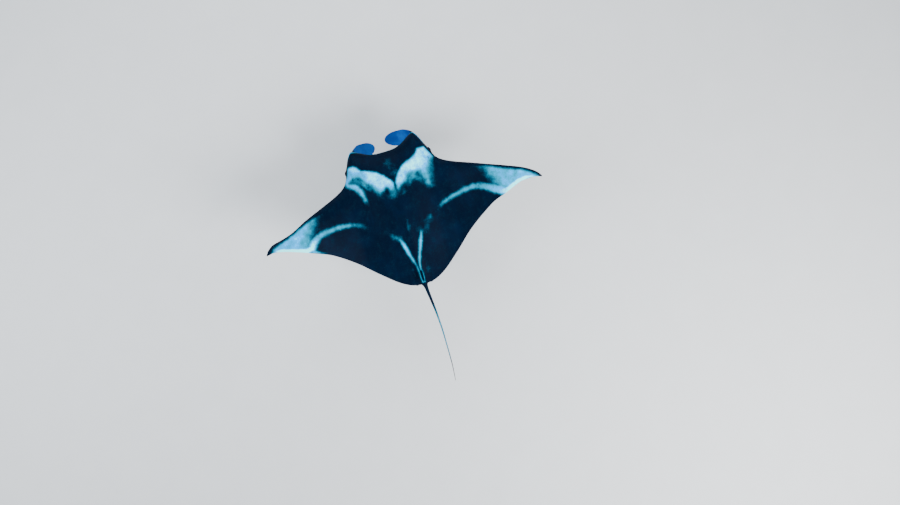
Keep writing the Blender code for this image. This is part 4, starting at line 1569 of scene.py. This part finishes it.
@dataclass(frozen=True)
class SkinFinish:
    """The ray's hide: blue-black above with pale markings, white below with dark spots."""

    back: Colour = tint(0, 8, 25)
    back_light: Colour = tint(0, 17, 39)
    deep_teal: Colour = tint(0, 36, 55)
    teal: Colour = tint(0, 80, 102)
    light_teal: Colour = tint(0, 124, 154)
    pale: Colour = tint(12, 150, 226)
    white: Colour = tint(116, 246, 255)
    belly: Colour = tint(214, 226, 230)
    belly_shade: Colour = tint(172, 188, 196)
    spot: Colour = tint(20, 30, 42)
    # deep blue of the head fins' inner faces: painted shade, standing for their pale skin in shadow
    inner: Colour = tint(0, 54, 126)
    inner_light: Colour = tint(0, 84, 164)
    palate: Colour = tint(176, 182, 184)
    # painted shade deep inside the mouth, which darkens from the pale palate
    throat_shade: Colour = tint(52, 60, 68)
    # near-black of slits and eye sockets: painted shade in those hollows
    lining: Colour = tint(10, 16, 24)
    roughness: Pair = (0.44, 0.6)
    specular: float = 0.02

    def material(self) -> bpy.types.Material:
        """Builds the hide's material.

        Returns:
            The material.
        """
        w = Wiring("hide")
        broad, middle, fine = w.noise(4.0), w.noise(15.0, 4.0), w.noise(110.0, 3.0)
        top = self.upper_side(w, broad, middle, fine)
        under = self.underside(w, broad, middle, fine)
        edge = w.swing(w.attribute("margin"), middle, 0.012)
        colour = w.mix(w.step(edge, -0.026, -0.008), under, top)
        blotches = w.step(w.math("ADD", broad, w.times(middle, 0.4)), 0.5, 0.9)
        inner = w.mix(blotches, self.inner, self.inner_light)
        # the head fins' inner faces take the deep blue, a painted shade
        colour = w.mix(w.attribute("inner"), colour, inner)
        # painted shade: the mouth darkens from the pale palate deeper inside
        mouth = w.mix(w.step(w.attribute("mouth"), 0.1, 0.9), self.palate, self.throat_shade)
        colour = w.mix(w.step(w.attribute("mouth"), 0.0, 0.12), colour, mouth)
        # painted shade: the sunken walls of slits and the eye sockets go near-black by the dark attribute
        w.finish("Base Color", w.mix(w.times(w.attribute("dark"), 0.96), colour, self.lining))
        w.finish("Roughness", w.between(middle, *self.roughness))
        w.finish("Specular IOR Level", self.specular)
        w.bump((w.noise(16.0, 2.0), 0.2, 0.004), (w.noise(420.0, 2.0), 0.3, 0.0006))
        return w.material

    def upper_side(self, w: Wiring, broad: Socket, middle: Socket, fine: Socket) -> Socket:
        """Colour of the back, with its markings.

        Args:
            w: the material's wiring.
            broad: noise over hands' breadths.
            middle: noise over fingers' breadths.
            fine: noise over millimetres.

        Returns:
            The colour.
        """
        streaks = w.noise(22.0, 3.0, (1.0, 0.22, 1.0))
        back = w.mix(w.times(w.step(broad, 0.42, 0.75), 0.55), self.back, self.back_light)
        back = w.mix(w.times(w.step(streaks, 0.48, 0.8), 0.35), back, self.back_light)
        ragged = w.times(w.math("SUBTRACT", streaks, 0.5), 0.35)
        ragged = w.swing(w.swing(ragged, middle, 0.7), fine, 0.45)
        pale = w.math("ADD", w.attribute("pale"), ragged)
        scale = w.node("ShaderNodeMapRange", None, {"Value": pale, "From Min": -0.1, "From Max": 1.2})
        marked = w.ramp(scale.outputs[0], (
            (0.0, self.back), (0.22, self.deep_teal), (0.4, self.teal), (0.58, self.light_teal),
            (0.76, self.pale), (0.97, self.white),
        ))
        top = w.mix(w.step(pale, -0.15, 0.15), back, marked)
        speckle = w.step(w.math("ADD", fine, w.times(middle, 0.5)), 0.74, 1.0)
        return w.mix(w.times(speckle, 0.07), top, self.teal)

    def underside(self, w: Wiring, broad: Socket, middle: Socket, fine: Socket) -> Socket:
        """Colour of the belly and of the wings' lower side, with spots by the gills and dusky edges.

        Args:
            w: the material's wiring.
            broad: noise over hands' breadths.
            middle: noise over fingers' breadths.
            fine: noise over millimetres.

        Returns:
            The colour.
        """
        colour = w.mix(w.step(broad, 0.4, 0.8), self.belly, self.belly_shade)
        inputs = {"Vector": w.place, "Scale": 9.0, "Randomness": 0.85}
        cells = w.node("ShaderNodeTexVoronoi", {"voronoi_dimensions": "2D"}, inputs)
        chance = w.node("ShaderNodeSeparateColor", None, {0: cells.outputs["Color"]}).outputs
        size = w.math("ADD", 0.05, w.times(chance[0], 0.12))
        there = w.step(w.math("SUBTRACT", w.attribute("spots"), chance[1]), -0.02, 0.12)
        size = w.math("MULTIPLY", size, there)
        ragged = w.swing(cells.outputs["Distance"], middle, 0.13)
        spot = w.step(w.math("SUBTRACT", ragged, size), 0.02, -0.03)
        spot = w.math("MULTIPLY", spot, w.step(size, 0.03, 0.05))
        colour = w.mix(w.times(spot, 0.95), colour, self.spot)
        dusk = w.times(w.step(w.swing(w.attribute("dusk"), middle, 0.5), 0.25, 0.95), 0.8)
        return w.mix(dusk, colour, w.mix(fine, self.spot, self.belly_shade))


@dataclass(frozen=True)
class EyeFinish:
    """A ray's eye: a dark level pupil in a dim bronze iris, under a clear glossy surface."""

    pupil: Colour = tint(2, 3, 4)
    iris: Colour = tint(48, 45, 36)
    iris_dark: Colour = tint(12, 12, 10)
    edgehighlight: Colour = tint(8, 12, 16)
    pupil_edge: Pair = (0.33, 0.38)
    iris_edge: Pair = (0.6, 0.7)
    roughness: float = 0.07
    specular: float = 0.15

    def material(self) -> bpy.types.Material:
        """Builds the eye's material, whose edges lie at angles from the eye's axis.

        Returns:
            The material.
        """
        w = Wiring("eye_glass")
        iris = w.mix(w.step(w.noise(260.0, 4.0), 0.3, 0.7), self.iris_dark, self.iris)
        colour = w.mix(w.step(w.attribute("pupil"), *self.pupil_edge), self.pupil, iris)
        w.finish("Base Color", w.mix(w.step(w.attribute("turn"), *self.iris_edge), colour, self.edgehighlight))
        w.finish("Roughness", self.roughness)
        w.finish("Specular IOR Level", self.specular)
        return w.material


@dataclass(frozen=True)
class LacquerFinish:
    """Satin dark lacquer on the stand's base."""

    dark: Colour = tint(38, 40, 43)
    light: Colour = tint(52, 54, 57)
    roughness: Pair = (0.34, 0.48)

    def material(self) -> bpy.types.Material:
        """Builds the lacquer's material.

        Returns:
            The material.
        """
        w = Wiring("satin_lacquer")
        w.finish("Base Color", w.mix(w.noise(60.0, 4.0), self.dark, self.light))
        w.finish("Roughness", w.between(w.noise(9.0), *self.roughness))
        w.bump((w.noise(500.0, 2.0), 0.15, 0.0003))
        return w.material


@dataclass(frozen=True)
class SteelFinish:
    """Brushed stainless steel, brushed along one axis."""

    grain: Place = (1.0, 1.0, 0.02)
    light: Colour = tint(198, 200, 203)
    dark: Colour = tint(168, 170, 174)
    roughness: Pair = (0.24, 0.4)

    def material(self) -> bpy.types.Material:
        """Builds the steel's material.

        Returns:
            The material.
        """
        w = Wiring("brushed_steel")
        streaks = w.noise(700.0, 3.0, self.grain)
        w.finish("Base Color", w.mix(streaks, self.dark, self.light))
        w.finish("Metallic", 1.0)
        w.finish("Roughness", w.between(streaks, *self.roughness))
        w.bump((streaks, 0.12, 0.0002))
        return w.material


def link(name: str, mesh: bpy.types.Mesh, material: bpy.types.Material) -> bpy.types.Object:
    """Puts a mesh in the scene.

    Args:
        name: the object's name.
        mesh: its mesh.
        material: its material.

    Returns:
        The object.
    """
    thing = bpy.data.objects.new(name, mesh)
    mesh.materials.clear()
    mesh.materials.append(material)
    bpy.context.scene.collection.objects.link(thing)
    return thing


@dataclass
class RaySkin:
    """The one skin that covers all of the ray's flesh.

    The sizes are those of the gill slits, spiracles and vent, of the dark round the head fins' roots, at the
    inner wings' edges and round the eyes, and of the belly's dusky edges and dark spots.
    """

    body: Body = field(default_factory=Body)
    markings: Markings = field(default_factory=Markings)
    finish: SkinFinish = field(default_factory=SkinFinish)
    gill_ahead: Pair = (1.215, 0.925)
    gill_inner: Pair = (0.12, 0.08)
    gill_outer: Pair = (0.295, 0.205)
    gill_half: float = 0.021
    gill_lean: float = 0.22
    gill_count: int = 5
    spiracle_at: Pair = (0.43, 1.335)
    spiracle_radii: Pair = (0.021, 0.01)
    vent_ahead: float = 0.24
    vent_radii: Pair = (0.03, 0.012)
    # the light line along the front edge, partly a painted highlight
    edgehighlight: EdgeHighlight = field(default_factory=EdgeHighlight)
    corner_rise: Pair = (0.2, 0.34)
    corner_fall: Pair = (0.5, 0.62)
    corner_drop: float = 0.055
    lobe_root: Place = (0.35, 1.57, -0.085)
    lobe_dark: float = 0.045
    lobe_long: float = 1.5
    lobe_drop: float = 0.16
    lobe_fade: float = 0.05
    inner_wing: float = 0.9
    edge_clears: Pair = (-0.012, 0.02)
    edge_depth: float = 2.5
    eye_patch: float = 0.062
    eye_depth: float = 2.4
    throat_depth: float = 0.26
    dusk_breadth: Pair = (0.05, 0.08)
    dusk_widens: Pair = (0.1, 0.6)
    dusk_tip: Pair = (1.3, 1.54)
    most_spots: float = 0.75
    spots_across: Pair = (0.1, 0.42)
    spots_rise: Pair = (0.35, 0.5)
    spots_fall: Pair = (1.15, 1.3)
    spots_clear: float = 0.2
    flesh: tuple[str, ...] = (
        "head", "trunk", "pectoral_fin_left", "pectoral_fin_right", "pectoral_tip_left", "pectoral_tip_right",
        "cephalic_fin_left", "cephalic_fin_right", "pelvic_fin_left", "pelvic_fin_right", "dorsal_fin",
        "tail_base", "tail_mid", "tail_tip",
    )

    def gill(self, sign: int, share: float) -> Slit:
        """One gill slit in the belly.

        Args:
            sign: the side's sign.
            share: how far down the row of slits it lies, from 0 to 1.

        Returns:
            The slit.
        """
        ranges = self.gill_inner, self.gill_outer, self.gill_ahead
        inner, outer, ahead = (first + (last - first) * share for first, last in ranges)
        across = sign * (inner + outer) / 2
        level, slope = self.body.lie(across, ahead, up=False, forward=False)
        along = (1.0, -self.gill_lean * sign, slope)
        return Slit((across, ahead, level), along, (slope, 0.0, -1.0), ((outer - inner) / 2, self.gill_half))

    def spiracle(self, sign: int) -> Slit:
        """The small opening in the back behind an eye.

        Args:
            sign: the side's sign.

        Returns:
            The opening.
        """
        across, ahead = sign * self.spiracle_at[0], self.spiracle_at[1]
        centre = across, ahead, self.body.skin_level(across, ahead, True)
        along, out = (0.3 * sign, 1.0, 0.0), (0.35 * sign, 0.0, 1.0)
        return Slit(centre, along, out, self.spiracle_radii, flap=0.002, depth=0.012, cover=0.1)

    def slits(self) -> list[Slit]:
        """Gill slits in the belly, spiracles behind the eyes and the vent.

        Returns:
            The slits.
        """
        found = []
        for side in Side:
            found += [self.gill(side.value, k / (self.gill_count - 1)) for k in range(self.gill_count)]
            found.append(self.spiracle(side.value))
        vent = 0.0, self.vent_ahead, self.body.skin_level(0.0, self.vent_ahead, False)
        along, out = (0.0, 1.0, 0.0), (0.0, 0.0, -1.0)
        return [*found, Slit(vent, along, out, self.vent_radii, flap=0.0015, depth=0.01, cover=0.0)]

    def lowered(self, points: Array, reach: Array, fore: Array) -> Array:
        """How far the back's dark colour runs down over the head's front corners and the head fins' roots.

        Args:
            points: points of the skin.
            reach: how far from the body's middle they lie.
            fore: whether each is nearer to the front edge than to the rear.

        Returns:
            The distances.
        """
        down = self.corner_drop * band(self.corner_rise, self.corner_fall, reach) * fore
        for side in Side:
            across, ahead, level = self.lobe_root
            root = np.array(place(side.value * across, ahead, level))
            apart = np.linalg.norm((points - root) / (1.0, self.lobe_long, 1.0), axis=-1)
            beyond = np.maximum(apart - self.lobe_dark, 0)
            down = down + self.lobe_drop * np.exp(-((beyond / self.lobe_fade) ** 2))
        return down

    def pale(self, points: Array, reach: Array, margin: Array, fore: Array) -> Array:
        """How pale the markings make the skin, which stays dark round the eyes and at the inner wings' edges.

        Args:
            points: points of the skin.
            reach: how far from the body's middle they lie.
            margin: signed distance of each from the edges.
            fore: whether each is nearer to the front edge than to the rear.

        Returns:
            The values, as 0.5 on a marking's edge.
        """
        inner_wing = reach < self.inner_wing
        edge = 1 - ease(*self.edge_clears, margin)
        marks = self.markings.value(points) - self.edge_depth * edge * inner_wing
        # the front edge's light line, partly a painted highlight, is laid over the markings
        pale = np.maximum(marks, np.where(fore, self.edgehighlight.value(reach, margin), NOT_PALE))
        for side in Side:
            apart = np.linalg.norm(points - np.array(EyeSeat(side).seat), axis=-1)
            pale = pale - self.eye_depth * np.exp(-((apart / self.eye_patch) ** 2))
        return np.where((margin < 0) & inner_wing, NOT_PALE, pale)

    def paint(self, hide: Hide, points: Array, margin: Array) -> None:
        """Sets the attributes that colour the body.

        Args:
            hide: the skin in the making.
            points: its grid of points.
            margin: signed distance of each from the edges.
        """
        reach = np.abs(points[..., 0])
        ahead = ORIGIN_AHEAD - points[..., 1]
        front = self.body.outline.front_edge(points[:, 0, 0])[:, None]
        rear = self.body.outline.rear_edge(points[:, 0, 0])[:, None]
        fore = ahead > (front + rear) / 2
        hide.set_values("margin", margin + self.lowered(points, reach, fore))
        hide.set_values("pale", self.pale(points, reach, margin, fore))
        column = np.arange(points.shape[1])
        inner = (column < self.body.inner_points) | (column > points.shape[1] - self.body.inner_points)
        # how deep inside the mouth each point lies, which carries the pale palate and the painted shade
        # deeper in
        hide.set_values("mouth", np.where(inner[None], ease(0.0, self.throat_depth, front - ahead), 0.0))
        breadth = self.dusk_breadth[0] + self.dusk_breadth[1] * ease(*self.dusk_widens, reach)
        rear_band = np.clip(1 - (ahead - rear) / breadth, 0, 1)
        hide.set_values("dusk", np.maximum(rear_band, ease(*self.dusk_tip, reach)))
        share = (ahead - rear) / np.maximum(front - rear, 1e-3)
        spots = (1 - ease(*self.spots_across, reach)) * band(self.spots_rise, self.spots_fall, ahead)
        hide.set_values("spots", self.most_spots * spots * ease(0.0, self.spots_clear, share))

    def build(self) -> bpy.types.Object:
        """Builds and dresses the skin.

        Returns:
            The skin's object.
        """
        points, margin = self.body.grid()
        hide = Hide(points, margin)
        LOG.info("skin grid: %d by %d points", *hide.grid_size)
        self.paint(hide, points, margin)
        hide.cap_ends()
        features = [*map(Lobe, Side), Tail(), DorsalFin(self.body), *map(PelvicFin, Side)]
        features += [EyeLid(EyeSeat(side)) for side in Side] + self.slits()
        for feature in features:
            added = hide.graft(feature.graft())
            LOG.info("%s: %d points", type(feature).__name__, len(added))
        mesh = hide.mesh("ray_skin")
        skin = link("ray_skin", mesh, self.finish.material())
        LOG.info("skin: %d faces", len(mesh.polygons))
        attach(skin, "root")
        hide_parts(*self.flesh)
        return skin


@dataclass
class Eye:
    """A glassy eyeball, set in the side of the head.

    The pupil is an oval, whose two sizes say how fast its edge is met along the eye and across it.
    """

    side: Side
    radius: float = 0.0299
    rings: int = 40
    sides: int = 64
    pupil: Pair = (0.76, 1.45)

    def build(self, material: bpy.types.Material) -> bpy.types.Object:
        """Builds the eyeball about the axis on which the eye looks out.

        Args:
            material: the eye's finish.

        Returns:
            The eyeball.
        """
        seat = EyeSeat(self.side)
        out = np.array(seat.outward)
        turns = np.linspace(0, math.pi, self.rings + 1)[1:-1]
        angles = 2 * math.pi * np.arange(self.sides) / self.sides
        flat = np.outer(np.cos(angles), np.cross(UP, out)) + np.outer(np.sin(angles), UP)
        rings = [flat * math.sin(turn) + out * math.cos(turn) for turn in turns]
        points = np.array(seat.centre) + self.radius * np.concatenate([[out], *rings, [-out]])
        pairs = [(k, (k + 1) % self.sides) for k in range(self.sides)]
        faces = [(0, 1 + k, 1 + after) for k, after in pairs]
        last = 1 + (len(turns) - 1) * self.sides
        for low in range(1, last, self.sides):
            high = low + self.sides
            faces += [(low + k, high + k, high + after, low + after) for k, after in pairs]
        faces += [(last + after, last + k, len(points) - 1) for k, after in pairs]
        mesh = bpy.data.meshes.new(f"eyeball_{self.side.tag}")
        mesh.from_pydata(points.tolist(), [], faces)
        for name, (along, above) in (("turn", (1.0, 1.0)), ("pupil", self.pupil)):
            layer = mesh.attributes.new(name, "FLOAT", "POINT")
            stretch = np.hypot(along * np.cos(angles), above * np.sin(angles))
            layer.data.foreach_set("value", [0.0, *np.outer(turns, stretch).ravel(), math.pi])
        mesh.shade_smooth()
        ball = link(f"eyeball_{self.side.tag}", mesh, material)
        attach(ball, "root")
        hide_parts(f"eye_{self.side.tag}")
        return ball


@dataclass
class Stand:
    """The display stand, whose solids keep their shape and take finer finishes, and its flanges' screws.

    A screw's profile is (share of its radius, share of its height), over the head and down into the socket,
    which is the hexagonal part.
    """

    rods: tuple[tuple[str, float], ...] = (("front", 1.1), ("rear", 0.62))
    base_height: float = 0.03
    flange_height: float = 0.014
    flange_gap: float = 0.0004
    circle: float = 0.035
    screws: int = 4
    screw_radius: float = 0.0045
    screw_height: float = 0.0026
    screw_sides: int = 24
    profile: Line = ((1.0, 0.0), (1.0, 0.55), (0.86, 0.9), (0.66, 1.0), (0.46, 1.0), (0.44, 0.2), (0.0, 0.2))
    socket: tuple[int, ...] = (4, 5)
    sharp: float = math.radians(40)

    def dress(self) -> None:
        """Gives the stand's nodes their finishes, and adds the screws."""
        lacquer, steel = LacquerFinish().material(), SteelFinish().material()
        for name, node in frame["nodes"].items():
            if name.startswith("stand_"):
                node.data.materials.clear()
                node.data.materials.append(lacquer if name == "stand_base" else steel)
        level = self.base_height + self.flange_gap + self.flange_height
        for name, ahead in self.rods:
            for k in range(self.screws):
                turn = 2 * math.pi * (k + 0.5) / self.screws
                out = Vector((math.cos(turn), math.sin(turn), 0.0)) * self.circle
                self.screw(f"stand_screw_{name}_{k}", Vector((0.0, ORIGIN_AHEAD - ahead, level)) + out, steel)

    def screw(self, name: str, centre: Vector, material: bpy.types.Material) -> None:
        """Adds a round-headed screw with a hexagonal socket.

        Args:
            name: the screw's name.
            centre: the middle of the face that it sits on.
            material: its finish.
        """
        sides = self.screw_sides
        points, faces = [], []
        for ring, (out, up) in enumerate(self.profile):
            for k in range(sides):
                turn = 2 * math.pi * k / sides
                hexagon = math.cos(math.pi / 6) / math.cos((turn % (math.pi / 3)) - math.pi / 6)
                wide = self.screw_radius * out * (hexagon if ring in self.socket else 1.0)
                spot = wide * math.cos(turn), wide * math.sin(turn), self.screw_height * up
                points.append(centre + Vector(spot))
        for low in range(0, (len(self.profile) - 1) * sides, sides):
            high = low + sides
            pairs = [(k, (k + 1) % sides) for k in range(sides)]
            faces += [(low + k, low + after, high + after, high + k) for k, after in pairs]
        mesh = bpy.data.meshes.new(name)
        mesh.from_pydata([tuple(point) for point in points], [], faces)
        mesh.shade_smooth()
        mesh.set_sharp_from_angle(angle=self.sharp)
        piece = link(name, mesh, material)
        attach(piece, "root")


@dataclass(frozen=True)
class Light:
    """A square soft light: its name, where it stands, its side, its power and its colour."""

    name: str
    spot: Place
    size: float
    watts: float
    colour: Place
    aim: Place = (0.0, -0.3, MID_HEIGHT)

    def build(self) -> None:
        """Adds the light, which the camera doesn't see."""
        lamp = bpy.data.lights.new(self.name, "AREA")
        lamp.size = self.size
        lamp.energy = self.watts
        lamp.color = self.colour
        thing = bpy.data.objects.new(self.name, lamp)
        thing.location = self.spot
        thing.rotation_euler = (Vector(self.aim) - Vector(self.spot)).to_track_quat("-Z", "Y").to_euler()
        thing.visible_camera = False
        bpy.context.scene.collection.objects.link(thing)


@dataclass
class Studio:
    """A plain pale floor, soft lights and the camera."""

    floor_half: float = 60.0
    floor_dark: Colour = tint(180, 184, 188)
    floor_light: Colour = tint(186, 190, 194)
    floor_roughness: float = 0.85
    sky: Colour = (0.82, 0.85, 0.89, 1.0)
    sky_strength: float = 0.9
    lights: tuple[Light, ...] = (
        Light("key", (-4.5, 5.0, 6.5), 4.0, 1950.0, (1.0, 0.99, 0.97)),
        Light("fill", (6.0, -1.0, 5.5), 5.0, 720.0, (0.94, 0.97, 1.0)),
        Light("front", (-1.0, -7.0, 4.5), 4.0, 540.0, (0.96, 0.98, 1.0)),
    )
    camera_at: Place = (-0.363, 0.053, 14.43)
    camera_up: Place = (-0.284, -0.959, 0.0)
    lens: float = 50.0
    sensor: float = 36.0
    farthest: float = 200.0

    def build(self) -> None:
        """Builds the studio."""
        self.floor()
        world = bpy.data.worlds.new("studio")
        world.use_nodes = True
        background = world.node_tree.nodes["Background"]
        background.inputs["Color"].default_value = self.sky
        background.inputs["Strength"].default_value = self.sky_strength
        bpy.context.scene.world = world
        for light in self.lights:
            light.build()
        self.camera()

    def floor(self) -> None:
        """Lays the floor."""
        half = self.floor_half
        corners = [(-half, -half, 0.0), (half, -half, 0.0), (half, half, 0.0), (-half, half, 0.0)]
        mesh = bpy.data.meshes.new("floor")
        mesh.from_pydata(corners, [], [(0, 1, 2, 3)])
        w = Wiring("studio_floor")
        w.finish("Base Color", w.mix(w.noise(3.0), self.floor_dark, self.floor_light))
        w.finish("Roughness", self.floor_roughness)
        link("floor", mesh, w.material)

    def camera(self) -> None:
        """Adds the camera, which looks straight down."""
        lens = bpy.data.cameras.new("camera")
        lens.lens = self.lens
        lens.sensor_width = self.sensor
        lens.clip_end = self.farthest
        camera = bpy.data.objects.new("camera", lens)
        up = Vector(self.camera_up).normalized()
        back = Vector((0.0, 0.0, 1.0))
        across = up.cross(back)
        turn = Matrix((across, up, back)).transposed().to_4x4()
        camera.matrix_world = Matrix.Translation(self.camera_at) @ turn
        bpy.context.scene.collection.objects.link(camera)
        bpy.context.scene.camera = camera


def main() -> None:
    """Builds the ray, its stand and the studio."""
    logging.basicConfig(level=logging.INFO, format="%(name)s: %(message)s")
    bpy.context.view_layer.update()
    RaySkin().build()
    glass = EyeFinish().material()
    for side in Side:
        Eye(side).build(glass)
        LOG.info("eye %s", side.tag)
    Stand().dress()
    LOG.info("stand")
    Studio().build()


if __name__ == "__main__":
    main()
